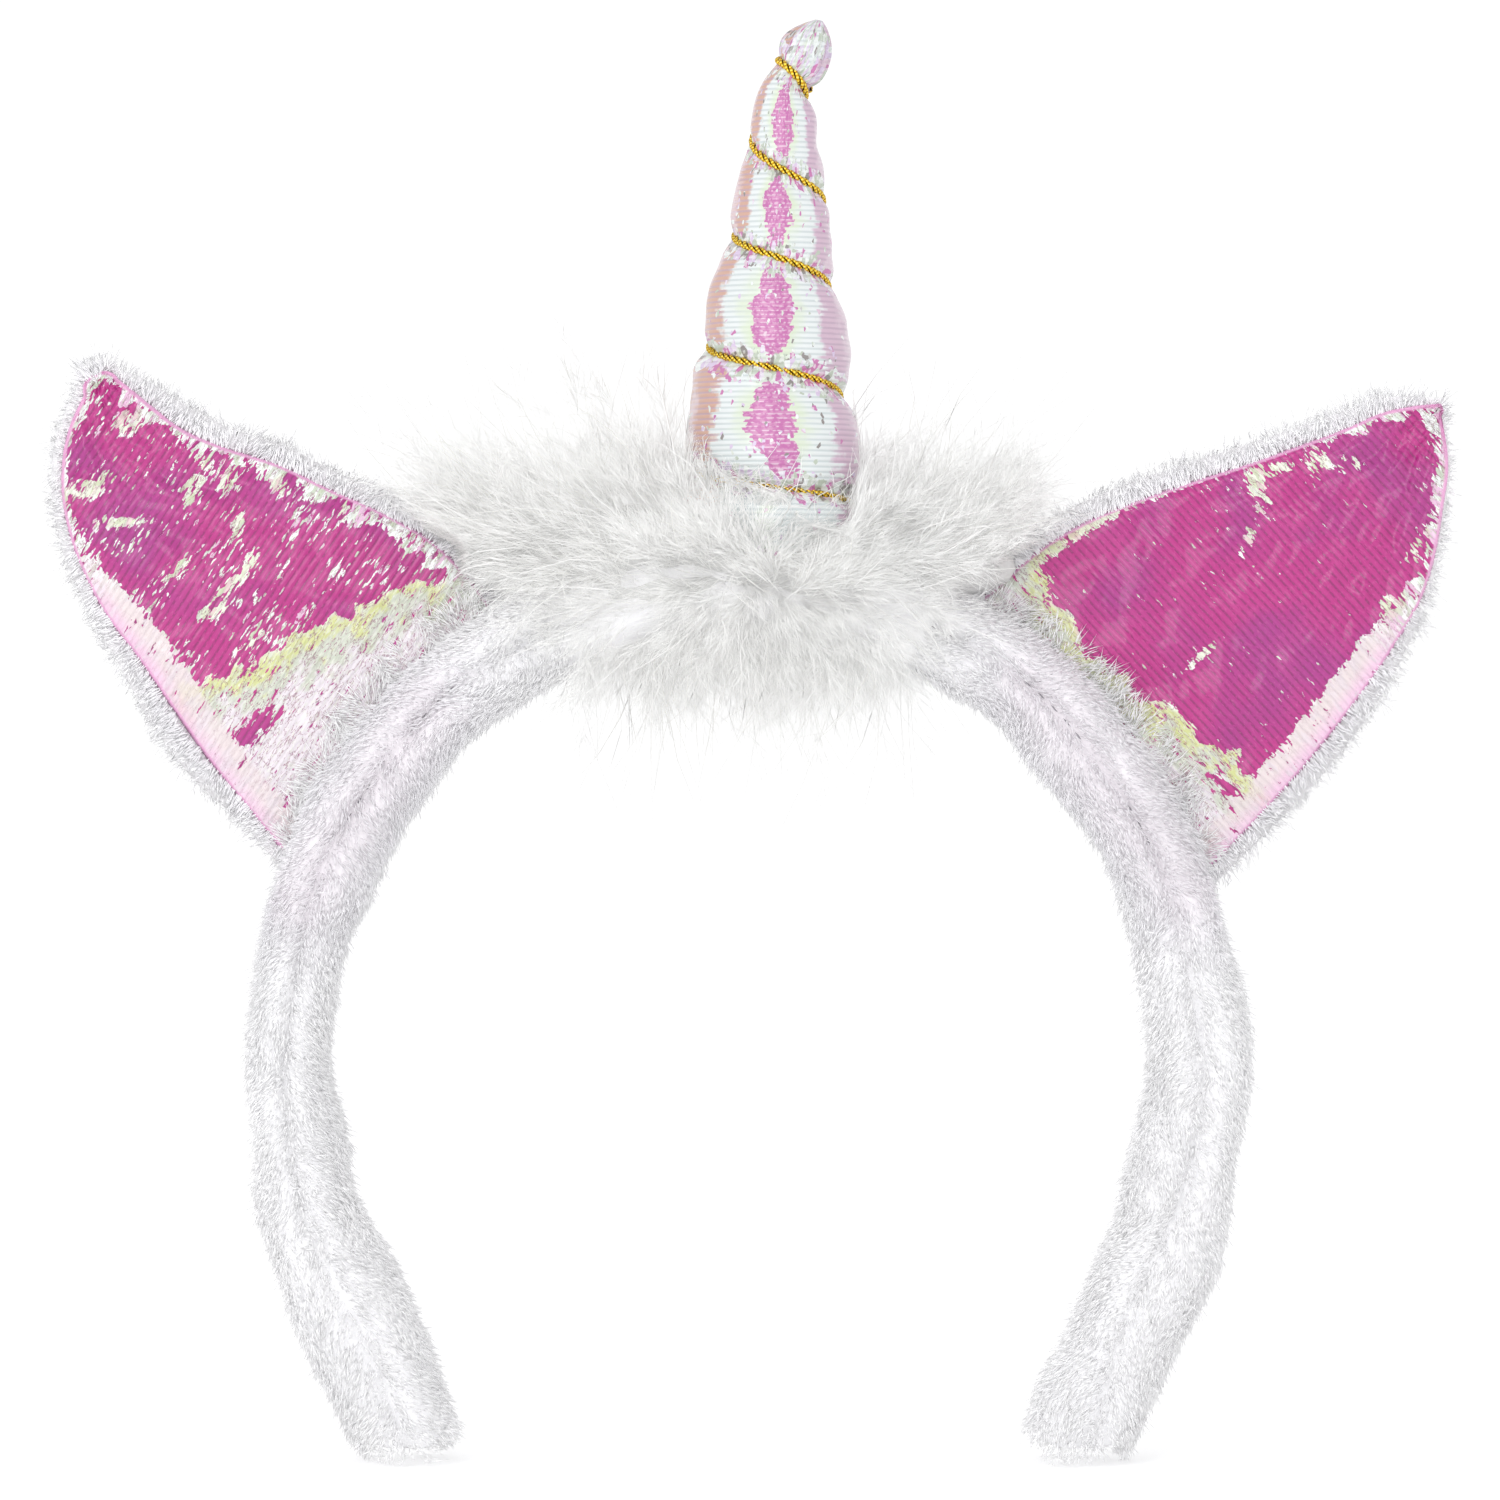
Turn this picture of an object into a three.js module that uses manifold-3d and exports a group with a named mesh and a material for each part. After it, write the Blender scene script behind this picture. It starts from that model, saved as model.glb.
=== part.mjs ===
// Unicorn horn headband: a plush tube over a hoop, standing on its two ends, with a
// stuffed horn of iridescent cloth wound with gold cord, a down trim round the horn's
// foot, and two ears with a foil front and a plush back.
// Millimetres. X to the right as seen from the front, Y from front to back, Z up.
// The origin is on the floor, under the middle of the band.

import * as THREE from 'three';
import { LoftGeometry } from 'three/addons/geometries/LoftGeometry.js';
import { mergeVertices } from 'three/addons/utils/BufferGeometryUtils.js';
import Module from 'manifold-3d';

const wasm = await Module();
wasm.setup();

// Clearance between pieces that touch
const clearance = 0.3;

// Band: its centre line, its padded section and the sewn seam along its front edge
const crownHeight = 131.7;
const halfSpan = 68.5;
const bandThickness = 13.3;
const bandWidth = 24;
const seamDepth = 1.5;
const bandSquareness = 0.88;
const bandSides = 18;
const bandSteps = 42;

// One arm from the crown to just below the floor:
// across is a share of halfSpan, up a share of crownHeight
const armRoute = [
  { across: 0.000, up: 1.000 },
  { across: 0.219, up: 0.985 },
  { across: 0.431, up: 0.943 },
  { across: 0.613, up: 0.885 },
  { across: 0.766, up: 0.801 },
  { across: 0.880, up: 0.706 },
  { across: 0.953, up: 0.604 },
  { across: 0.993, up: 0.501 },
  { across: 0.997, up: 0.438 },
  { across: 0.972, up: 0.367 },
  { across: 0.942, up: 0.281 },
  { across: 0.883, up: 0.197 },
  { across: 0.807, up: 0.114 },
  { across: 0.750, up: 0.045 },
  { across: 0.708, up: -0.015 },
  { across: 0.683, up: -0.053 }
];

// How full the padding is along each arm, as shares of bandThickness:
// along is a share of the arm's length from the crown
const armFullness = [
  { along: 0.00, left: 1.00, right: 1.00 },
  { along: 0.33, left: 1.03, right: 1.03 },
  { along: 0.42, left: 1.00, right: 0.99 },
  { along: 0.48, left: 0.93, right: 0.95 },
  { along: 0.55, left: 0.86, right: 1.04 },
  { along: 0.60, left: 0.83, right: 1.08 },
  { along: 0.65, left: 0.87, right: 1.05 },
  { along: 0.69, left: 0.96, right: 1.07 },
  { along: 0.74, left: 1.07, right: 1.15 },
  { along: 0.80, left: 1.18, right: 1.19 },
  { along: 0.87, left: 1.19, right: 1.17 },
  { along: 0.93, left: 1.08, right: 1.12 },
  { along: 1.00, left: 1.00, right: 1.03 }
];

// Horn: measured from the top of the band's crown to the tip
const hornHeight = 77.6;
const hornRadius = 11.4;
const hornOffset = 4.5;
const hornSkirt = 3.2;
const hornPuff = 0.23;
const puffSharpness = 4;
const puffDroop = 0.3;
const hornSides = 18;
const hornSteps = 38;

// The horn at the cord: rise is a share of hornHeight, lean and waist are shares of
// hornRadius, and tilt turns the ring down to the right in degrees
const hornRows = [
  { rise: -0.05, lean: 0.00, waist: 1.00, tilt: 0 },
  { rise: 0.06, lean: 0.00, waist: 0.99, tilt: 0 },
  { rise: 0.19, lean: 0.00, waist: 0.93, tilt: 0 },
  { rise: 0.27, lean: -0.01, waist: 0.87, tilt: 0 },
  { rise: 0.37, lean: 0.01, waist: 0.82, tilt: 0 },
  { rise: 0.485, lean: 0.02, waist: 0.68, tilt: 0 },
  { rise: 0.58, lean: 0.08, waist: 0.56, tilt: 0 },
  { rise: 0.65, lean: 0.11, waist: 0.52, tilt: 0 },
  { rise: 0.77, lean: 0.13, waist: 0.37, tilt: 2 },
  { rise: 0.82, lean: 0.15, waist: 0.345, tilt: 8 },
  { rise: 0.859, lean: 0.18, waist: 0.29, tilt: 24 },
  { rise: 0.891, lean: 0.25, waist: 0.245, tilt: 48 },
  { rise: 0.914, lean: 0.35, waist: 0.335, tilt: 38 },
  { rise: 0.943, lean: 0.44, waist: 0.335, tilt: 28 },
  { rise: 0.970, lean: 0.51, waist: 0.265, tilt: 20 },
  { rise: 0.990, lean: 0.56, waist: 0.15, tilt: 14 },
  { rise: 1.000, lean: 0.60, waist: 0.05, tilt: 10 }
];

// Cord: a spiral that runs down from left to right across the front
const cordRadius = 0.65;
const cordSeat = 0.25;
const cordSides = 6;
const cordSteps = 84;

// Where the cord crosses the horn: turn counts whole turns from the left of the neck,
// rise is a share of hornHeight
const cordTurns = [
  { turn: -0.5, rise: 0.899 },
  { turn: 0.0, rise: 0.893 },
  { turn: 0.5, rise: 0.884 },
  { turn: 1.0, rise: 0.768 },
  { turn: 1.5, rise: 0.652 },
  { turn: 2.0, rise: 0.583 },
  { turn: 2.5, rise: 0.485 },
  { turn: 3.0, rise: 0.369 },
  { turn: 3.5, rise: 0.272 },
  { turn: 4.0, rise: 0.131 },
  { turn: 4.5, rise: 0.064 },
  { turn: 4.75, rise: 0.040 }
];

// Ears: a foil front with a turned edge, and a plush back that stands out round it
const foilEdge = 1.1;
const foilCrown = 1.6;
const foilPleat = 0.5;
const foilPleats = 5;
const pleatReach = 0.45;
const plushEdge = 2.2;
const plushCrown = 1.4;
const earSpans = 8;

// Each ear's seat: along is a share of the arm's length from the crown, standOff lifts
// the middle of the base off the band's centre line, lean is in degrees from upright
const leftEar = {
  side: -1,
  along: 0.317,
  standOff: 7.4,
  lean: 37.8,
  length: 62.9,
  halfBase: 23.8,
  halo: 3.2
};
const rightEar = {
  side: 1,
  along: 0.322,
  standOff: 3.7,
  lean: 46.4,
  length: 69.9,
  halfBase: 26.7,
  halo: 3.0
};

// An ear's outline from root to tip, for its lower outer edge and its upper inner edge:
// rises are shares of its length, sides are shares of its half base, and the halos are
// how far the plush stands out past the foil, as shares of its halo
const earColumns = ['outerRise', 'outerSide', 'outerHalo', 'upperRise', 'upperSide', 'upperHalo'];
const leftEarTable = [
  [-0.200, 0.990, 0.50, -0.070, 0.990, 0.80],
  [-0.050, 1.000, 0.60, 0.090, 1.000, 0.80],
  [0.130, 1.010, 1.10, 0.220, 0.960, 0.80],
  [0.290, 0.990, 1.20, 0.350, 0.820, 0.80],
  [0.430, 0.970, 0.90, 0.470, 0.650, 0.80],
  [0.570, 0.960, 0.60, 0.590, 0.490, 0.85],
  [0.710, 0.885, 0.50, 0.700, 0.290, 0.90],
  [0.830, 0.750, 0.45, 0.795, 0.150, 1.00],
  [0.915, 0.580, 0.45, 0.875, 0.090, 0.90],
  [0.970, 0.400, 0.45, 0.940, 0.050, 0.70],
  [1.005, 0.220, 0.50, 0.985, 0.020, 0.50]
];
const rightEarTable = [
  [-0.120, 1.010, 0.60, -0.100, 1.010, 0.90],
  [0.030, 0.990, 0.70, 0.040, 0.990, 0.90],
  [0.143, 0.975, 0.80, 0.172, 0.970, 0.90],
  [0.258, 0.950, 0.90, 0.286, 0.900, 0.90],
  [0.372, 0.910, 0.90, 0.400, 0.784, 0.90],
  [0.487, 0.860, 0.80, 0.508, 0.652, 0.90],
  [0.587, 0.800, 0.55, 0.627, 0.502, 0.90],
  [0.683, 0.727, 0.30, 0.730, 0.382, 0.85],
  [0.773, 0.596, 0.15, 0.823, 0.277, 0.80],
  [0.859, 0.427, 0.10, 0.902, 0.200, 0.70],
  [0.930, 0.270, 0.10, 0.960, 0.105, 0.50],
  [0.990, 0.045, 0.20, 1.000, 0.020, 0.30]
];

const earRows = (table) => table.map((values) =>
  Object.fromEntries(earColumns.map((name, i) => [name, values[i]])));
const leftEarRows = earRows(leftEarTable);
const rightEarRows = earRows(rightEarTable);

// Down trim: a core laid round the crown, and the locks that stand out of it
const trimReach = 40;
const trimRadial = 14.4;
const trimDepth = 18.3;
const trimSides = 14;
const trimSteps = 12;
const lockCount = 44;
const lockLength = 10;
const lockRadius = 3.5;
const lockRoot = 4;
const lockTaper = [1, 0.95, 0.62, 0.1];
const lockSpread = 0.9;
const lockFan = 0.7;
const lockVary = 0.4;
const lockTossed = 0.8;
const lockOffHorn = 0.38;
const lockOffBand = 0.45;

// The core from its middle to its ends: along is a share of trimReach, lift and radial
// are shares of trimRadial, depth is a share of trimDepth
const trimRows = [
  { along: 0.00, lift: 0.16, radial: 1.00, depth: 1.00 },
  { along: 0.45, lift: 0.30, radial: 1.00, depth: 0.97 },
  { along: 0.70, lift: 0.62, radial: 0.92, depth: 0.88 },
  { along: 0.88, lift: 0.84, radial: 0.76, depth: 0.74 },
  { along: 1.00, lift: 0.94, radial: 0.50, depth: 0.50 }
];

function blend(rows, key, name, at) {
  // Smooth curve through a table's rows, level with the end rows outside them
  const last = rows.length - 1;
  if (at <= rows[0][key]) return rows[0][name];
  if (at >= rows[last][key]) return rows[last][name];
  let i = 0;
  while (rows[i + 1][key] < at) i += 1;
  const slope = (k) => {
    const before = rows[Math.max(k - 1, 0)];
    const after = rows[Math.min(k + 1, last)];
    return (after[name] - before[name]) / (after[key] - before[key]);
  };
  const width = rows[i + 1][key] - rows[i][key];
  const t = (at - rows[i][key]) / width;
  const rise = rows[i + 1][name] - rows[i][name];
  const ease = t * t * (3 - 2 * t);
  const start = slope(i) * width * t * (1 - t) * (1 - t);
  const end = slope(i + 1) * width * t * t * (t - 1);
  return rows[i][name] + rise * ease + start + end;
}

function solidOf(geometry) {
  // A closed mesh as a solid that can be cut and joined
  const bare = new THREE.BufferGeometry();
  bare.setAttribute('position', geometry.getAttribute('position'));
  if (geometry.index) bare.setIndex(geometry.index);
  const merged = mergeVertices(bare, 1e-4);
  return new wasm.Manifold(new wasm.Mesh({
    numProp: 3,
    vertProperties: new Float32Array(merged.getAttribute('position').array),
    triVerts: new Uint32Array(merged.index.array)
  }));
}

function geometryOf(solid) {
  const mesh = solid.getMesh();
  const geometry = new THREE.BufferGeometry();
  const points = new Float32Array(mesh.vertProperties);
  geometry.setAttribute('position', new THREE.BufferAttribute(points, 3));
  geometry.setIndex(new THREE.BufferAttribute(new Uint32Array(mesh.triVerts), 1));
  geometry.computeVertexNormals();
  return geometry;
}

function loft(sections) {
  return new LoftGeometry(sections, { closed: true, capStart: true, capEnd: true });
}

function piece(name, solid, color, roughness, metalness) {
  const material = new THREE.MeshStandardMaterial({ color, roughness, metalness });
  const mesh = new THREE.Mesh(geometryOf(solid), material);
  mesh.name = name;
  return mesh;
}

// Band

const armPoint = (row, side) =>
  new THREE.Vector3(side * row.across * halfSpan, 0, row.up * crownHeight);
const bandRoute = new THREE.CatmullRomCurve3([
  ...armRoute.slice(1).reverse().map((row) => armPoint(row, -1)),
  ...armRoute.map((row) => armPoint(row, 1))
]);

function bandAt(share) {
  // Place, outward direction and half thickness: share runs from the left foot to the right
  const middle = bandRoute.getPointAt(share);
  const along = bandRoute.getTangentAt(share);
  const outward = new THREE.Vector3(-along.z, 0, along.x);
  const armShare = Math.abs(2 * share - 1);
  const arm = share < 0.5 ? 'left' : 'right';
  const half = 0.5 * bandThickness * blend(armFullness, 'along', arm, armShare);
  return { middle, outward, half };
}

function bandSection(share, grow) {
  // A flattened oval, creased at the seam on the front
  const { middle, outward, half } = bandAt(share);
  const points = [];
  for (let i = 0; i < bandSides; i += 1) {
    const angle = (-2 * Math.PI * i) / bandSides - Math.PI / 2;
    const crease = i === 0 ? seamDepth : 0;
    const square = (value) => Math.sign(value) * Math.abs(value) ** bandSquareness;
    const out = (half + grow) * square(Math.cos(angle));
    const back = (0.5 * bandWidth + grow - crease) * square(Math.sin(angle));
    points.push(middle.clone().addScaledVector(outward, out).add(new THREE.Vector3(0, back, 0)));
  }
  return points;
}

function bandSolid(grow) {
  const sections = [];
  for (let i = 0; i <= bandSteps; i += 1) sections.push(bandSection(i / bandSteps, grow));
  return solidOf(loft(sections));
}

function aboveFloor(solid) {
  // The plush ends are pressed flat where the band stands
  const reach = 4 * halfSpan;
  const floor = new THREE.BoxGeometry(reach, reach, crownHeight);
  floor.translate(0, 0, -0.5 * crownHeight);
  return solid.subtract(solidOf(floor));
}

// Horn and cord

const hornSeat = crownHeight + 0.5 * bandThickness;

function hornRing(rise) {
  const centre = new THREE.Vector3(
    hornOffset + hornRadius * blend(hornRows, 'rise', 'lean', rise),
    0,
    hornSeat + hornHeight * rise
  );
  const tilt = THREE.MathUtils.degToRad(blend(hornRows, 'rise', 'tilt', rise));
  const waist = hornRadius * blend(hornRows, 'rise', 'waist', rise);
  const across = new THREE.Vector3(Math.cos(tilt), 0, -Math.sin(tilt));
  return { centre, across, waist };
}

function ringPoint(ring, angle, radius) {
  return ring.centre.clone()
    .addScaledVector(ring.across, radius * Math.cos(angle))
    .add(new THREE.Vector3(0, radius * Math.sin(angle), 0));
}

const cordAngle = (turn) => Math.PI * (1 + 2 * turn);
const cordRise = (turn) => blend(cordTurns, 'turn', 'rise', turn);
const firstTurn = cordTurns[0].turn;
const lastTurn = cordTurns[cordTurns.length - 1].turn;

function puffShare(rise, angle) {
  // How far the stuffing swells between one turn of the cord and the next
  const phase = (((angle / (2 * Math.PI) - 0.5) % 1) + 1) % 1;
  const highest = phase - 1 < firstTurn ? phase : phase - 1;
  let above = cordRise(highest);
  if (rise > above) return 0;
  for (let turn = highest + 1; turn < lastTurn + 1; turn += 1) {
    const below = turn > lastTurn ? hornRows[0].rise : cordRise(turn);
    if (rise >= below && above > below) {
      const fraction = (above - rise) / (above - below);
      const swell = 1 - Math.abs(2 * fraction - 1) ** puffSharpness;
      return swell * (1 + puffDroop * (0.5 - fraction));
    }
    above = below;
  }
  return 0;
}

function hornSolid(grow) {
  const sections = [];
  const lowest = -hornSkirt / hornHeight;
  for (let i = 0; i <= hornSteps; i += 1) {
    const rise = lowest + ((1 - lowest) * i) / hornSteps;
    const ring = hornRing(rise);
    const points = [];
    for (let j = 0; j < hornSides; j += 1) {
      const angle = (2 * Math.PI * j) / hornSides;
      const swell = 1 + hornPuff * puffShare(rise, angle);
      points.push(ringPoint(ring, angle, ring.waist * swell + grow));
    }
    sections.push(points);
  }
  return solidOf(loft(sections));
}

class CordCurve extends THREE.Curve {
  getPoint(share) {
    const turn = firstTurn + (lastTurn - firstTurn) * share;
    const ring = hornRing(cordRise(turn));
    return ringPoint(ring, cordAngle(turn), ring.waist + cordSeat);
  }
}

function cordSolid(grow) {
  const section = new THREE.Shape();
  for (let i = 0; i < cordSides; i += 1) {
    const angle = (2 * Math.PI * i) / cordSides;
    const x = (cordRadius + grow) * Math.cos(angle);
    const y = (cordRadius + grow) * Math.sin(angle);
    if (i === 0) section.moveTo(x, y);
    else section.lineTo(x, y);
  }
  section.closePath();
  return solidOf(new THREE.ExtrudeGeometry(section, {
    steps: cordSteps,
    curveSegments: 1,
    extrudePath: new CordCurve()
  }));
}

// Ears

function earFrame(ear) {
  // Middle of the base, the direction to the tip and the direction to the outer edge
  const seat = bandAt(0.5 + 0.5 * ear.side * ear.along);
  const lean = THREE.MathUtils.degToRad(ear.lean);
  return {
    base: seat.middle.clone().addScaledVector(seat.outward, ear.standOff),
    rise: new THREE.Vector3(ear.side * Math.sin(lean), 0, Math.cos(lean)),
    outer: new THREE.Vector3(ear.side * Math.cos(lean), 0, -Math.sin(lean))
  };
}

function earOutline(ear, rows, halo, grow) {
  // Both edges in the ear's own plane, moved outwards square to themselves by their
  // share of halo and by grow
  const outer = rows.map((row) =>
    new THREE.Vector2(row.outerSide * ear.halfBase, row.outerRise * ear.length));
  const upper = rows.map((row) =>
    new THREE.Vector2(-row.upperSide * ear.halfBase, row.upperRise * ear.length));
  const loop = [...outer, ...upper.slice().reverse()];
  const halos = [...rows.map((row) => row.outerHalo), ...rows.map((row) => row.upperHalo).reverse()];
  const moved = loop.map((point, i) => {
    const before = loop[Math.max(i - 1, 0)];
    const after = loop[Math.min(i + 1, loop.length - 1)];
    const along = after.clone().sub(before).normalize();
    const distance = halo * halos[i] + grow;
    return point.clone().add(new THREE.Vector2(along.y, -along.x).multiplyScalar(distance));
  });
  return { outer: moved.slice(0, rows.length), upper: moved.slice(rows.length).reverse() };
}

function earSolid(ear, rows, halo, grow, frontDepth, backDepth) {
  // Sections from edge to edge: each depth is a function of the share across and the share up
  const frame = earFrame(ear);
  const edges = earOutline(ear, rows, halo, grow);
  const sections = rows.map((row, i) => {
    const up = i / (rows.length - 1);
    const place = (across, depth) => {
      const flat = edges.outer[i].clone().lerp(edges.upper[i], across);
      return frame.base.clone()
        .addScaledVector(frame.outer, flat.x)
        .addScaledVector(frame.rise, flat.y)
        .add(new THREE.Vector3(0, depth, 0));
    };
    const points = [];
    for (let k = 0; k <= earSpans; k += 1) {
      points.push(place(k / earSpans, frontDepth(k / earSpans, up)));
    }
    for (let k = earSpans; k >= 0; k -= 1) {
      points.push(place(k / earSpans, backDepth(k / earSpans, up)));
    }
    return ear.side > 0 ? points.reverse() : points;
  });
  return solidOf(loft(sections));
}

const dome = (across) => 1 - (2 * across - 1) ** 2;

function foilFront(across, up) {
  // Padded face, gathered into pleats at the base
  const fade = Math.max(0, 1 - up / pleatReach);
  const pleats = foilPleat * Math.sin(foilPleats * Math.PI * across) * fade;
  return -0.5 * clearance - foilEdge - foilCrown * dome(across) * (1 - up ** 3) + pleats;
}

const foilBack = () => -0.5 * clearance;
const plushFront = () => 0.5 * clearance;

function plushBack(across, up) {
  return 0.5 * clearance + plushEdge + plushCrown * dome(across) * (1 - up ** 3);
}

function earPieces(name, ear, rows, bandCut) {
  const foil = earSolid(ear, rows, 0, 0, foilFront, foilBack).subtract(bandCut);
  const plush = earSolid(ear, rows, ear.halo, 0, plushFront, plushBack).subtract(bandCut);
  return [
    piece(`${name}_foil`, foil, 0xbd488d, 0.3, 0.4),
    piece(`${name}_plush`, plush, 0xececee, 1, 0)
  ];
}

function earRoom(ear, rows) {
  // The whole ear with clearance all round
  const front = (across, up) => foilFront(across, up) - clearance - foilPleat;
  const back = (across, up) => plushBack(across, up) + clearance;
  return earSolid(ear, rows, ear.halo, clearance, front, back);
}

// Down trim

const trimShare = trimReach / (0.5 * bandRoute.getLength());

function trimAt(along) {
  // The core's centre and its two half sizes: along runs from -1 at its left end to 1
  const { middle, outward } = bandAt(0.5 + 0.5 * trimShare * along);
  const at = Math.abs(along);
  const lift = trimRadial * blend(trimRows, 'along', 'lift', at);
  return {
    centre: middle.clone().addScaledVector(outward, lift),
    outward,
    lift,
    radial: trimRadial * blend(trimRows, 'along', 'radial', at),
    depth: trimDepth * blend(trimRows, 'along', 'depth', at)
  };
}

function trimCore() {
  const sections = [];
  for (let i = 0; i <= trimSteps; i += 1) {
    const { centre, outward, radial, depth } = trimAt((2 * i) / trimSteps - 1);
    const points = [];
    for (let j = 0; j < trimSides; j += 1) {
      const angle = (2 * Math.PI * j) / trimSides;
      points.push(centre.clone()
        .addScaledVector(outward, radial * Math.cos(angle))
        .add(new THREE.Vector3(0, -depth * Math.sin(angle), 0)));
    }
    sections.push(points);
  }
  return solidOf(loft(sections));
}

function trimLock(index) {
  // A tapered lock that leaves the core outwards and bends towards the nearer end:
  // none stands where the horn does, or where the band lies bare under the ends
  const golden = 0.61803398875;
  const along = lockSpread * ((2 * (index + 0.5)) / lockCount - 1);
  const vary = (index * golden * golden * 7) % 1;
  const { centre, outward, lift, radial, depth } = trimAt(along);
  const besideHorn = Math.exp(-(((centre.x - hornOffset) / (1.5 * hornRadius)) ** 4));
  const overBand = THREE.MathUtils.smoothstep(lift / radial, 0.3, 0.6);
  const around = ((index * golden) % 1) - 0.5;
  const offTop = 1 - (1 - 2 * Math.abs(around)) * (1 - lockOffHorn * besideHorn);
  const angle = Math.PI * Math.sign(around) * offTop * (1 - lockOffBand * overBand);
  const away = outward.clone().multiplyScalar(Math.cos(angle))
    .add(new THREE.Vector3(0, Math.sin(angle), 0));
  const sideways = new THREE.Vector3(outward.z, 0, -outward.x);
  const start = centre.clone()
    .addScaledVector(outward, (radial - lockRoot) * Math.cos(angle))
    .add(new THREE.Vector3(0, (depth - lockRoot) * Math.sin(angle), 0));
  const length = lockRoot + lockLength * (1 - lockVary * (1 - vary));
  const lean = lockFan * along + lockTossed * (vary - 0.5);
  const sections = lockTaper.map((taper, i) => {
    const share = i / (lockTaper.length - 1);
    const heading = away.clone().addScaledVector(sideways, lean * (0.3 + share)).normalize();
    const middle = start.clone().addScaledVector(heading, length * share);
    const first = new THREE.Vector3().crossVectors(heading, sideways).normalize();
    const second = new THREE.Vector3().crossVectors(heading, first);
    return [0, 1, 2, 3].map((corner) => {
      const turn = 0.5 * Math.PI * corner;
      return middle.clone()
        .addScaledVector(first, lockRadius * taper * Math.cos(turn))
        .addScaledVector(second, lockRadius * taper * Math.sin(turn));
    });
  });
  return solidOf(loft(sections));
}

function trimSolid(cuts) {
  let trim = trimCore();
  for (let i = 0; i < lockCount; i += 1) trim = trim.add(trimLock(i));
  for (const cut of cuts) trim = trim.subtract(cut);
  return trim;
}

const bandCut = bandSolid(clearance);
const hornCut = hornSolid(clearance);
const cordCut = cordSolid(clearance);
const earCuts = [earRoom(leftEar, leftEarRows), earRoom(rightEar, rightEarRows)];

const headband = new THREE.Group();
headband.add(
  piece('band', aboveFloor(bandSolid(0)), 0xececee, 1, 0),
  piece('marabou_trim', trimSolid([bandCut, hornCut, cordCut, ...earCuts]), 0xe8e6e5, 1, 0),
  piece('horn', hornSolid(0).subtract(cordCut).subtract(bandCut), 0xe2c4dc, 0.35, 0.3),
  piece('horn_cord', cordSolid(0), 0xd9a520, 0.3, 0.9),
  ...earPieces('ear_left', leftEar, leftEarRows, bandCut),
  ...earPieces('ear_right', rightEar, rightEarRows, bandCut)
);

export default headband;
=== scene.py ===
import bpy
import numpy as np
from math import cos, pi, radians, sin
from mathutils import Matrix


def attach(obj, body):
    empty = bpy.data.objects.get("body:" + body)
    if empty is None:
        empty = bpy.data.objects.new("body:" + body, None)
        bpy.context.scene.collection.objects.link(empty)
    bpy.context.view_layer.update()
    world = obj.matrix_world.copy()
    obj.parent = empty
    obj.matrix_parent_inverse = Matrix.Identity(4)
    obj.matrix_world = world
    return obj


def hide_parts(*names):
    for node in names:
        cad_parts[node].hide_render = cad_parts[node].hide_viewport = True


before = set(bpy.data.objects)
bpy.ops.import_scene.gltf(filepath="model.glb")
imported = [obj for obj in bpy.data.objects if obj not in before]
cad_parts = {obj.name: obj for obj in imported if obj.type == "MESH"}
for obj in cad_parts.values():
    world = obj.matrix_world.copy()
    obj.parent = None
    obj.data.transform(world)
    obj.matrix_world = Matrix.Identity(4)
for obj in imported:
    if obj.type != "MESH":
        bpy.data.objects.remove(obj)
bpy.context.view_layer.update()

# Everything below is in millimetres, in the frame of the CAD model: X to the right, Y from
# front to back, Z up from the floor. Meshes are turned into metres as they are made.
MM = 0.001
to_back = np.array([0, 1.0, 0])

# Camera: the photograph shows the headband straight from the front
pixel_size = 0.15
picture_width = 1500 * pixel_size
camera_distance = 1200.0
camera_place = (1.05, -camera_distance, 106.5)
sensor_width = 36.0

scene = bpy.context.scene
camera = bpy.data.objects.new("camera", bpy.data.cameras.new("camera"))
camera.data.sensor_width = sensor_width
camera.data.lens = sensor_width * camera_distance / picture_width
camera.data.clip_end = 20.0
camera.location = [place * MM for place in camera_place]
camera.rotation_euler = (0.5 * pi, 0.0, 0.0)
scene.collection.objects.link(camera)
scene.camera = camera
scene.view_settings.view_transform = "Standard"


# Tables and curves

def table(names, rows):
    """A short table whose named columns are arrays."""
    return dict(zip(names, np.array(rows, float).T))


def curve(rows, key, name, at):
    """Smooth curve through a table's rows, level with the end rows outside them: each stretch
    is the cubic that starts and ends with the slopes found from the neighbouring rows."""
    keys = rows[key]
    values = rows[name]
    last = len(keys) - 1
    before = np.maximum(np.arange(last + 1) - 1, 0)
    after = np.minimum(np.arange(last + 1) + 1, last)
    slopes = (values[after] - values[before]) / (keys[after] - keys[before])
    at = np.clip(at, keys[0], keys[last])
    i = np.clip(np.searchsorted(keys, at, side="right") - 1, 0, last - 1)
    width = keys[i + 1] - keys[i]
    t = (at - keys[i]) / width
    ease = t * t * (3 - 2 * t)
    start = slopes[i] * width * t * (1 - t) ** 2
    end = slopes[i + 1] * width * t * t * (t - 1)
    return values[i] + (values[i + 1] - values[i]) * ease + start + end


def unit(vectors):
    """Each vector divided by its own length."""
    return vectors / np.maximum(np.linalg.norm(vectors, axis=-1, keepdims=True), 1e-9)


def mix(first, second, share):
    """First where share is 0, second where it is 1, and in proportion between."""
    return first + (second - first) * share


def step_up(at, low, high):
    """0 below low, 1 above high, and an easy slope between."""
    t = np.clip((at - low) / (high - low), 0, 1)
    return t * t * (3 - 2 * t)


def around(sides):
    """Evenly spaced angles of one full turn."""
    return np.linspace(0, 2 * pi, sides, endpoint=False)


def path_lengths(points):
    """Length of a line of points from its start up to each of them."""
    return np.r_[0, np.cumsum(np.linalg.norm(np.diff(points, axis=0), axis=1))]


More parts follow.
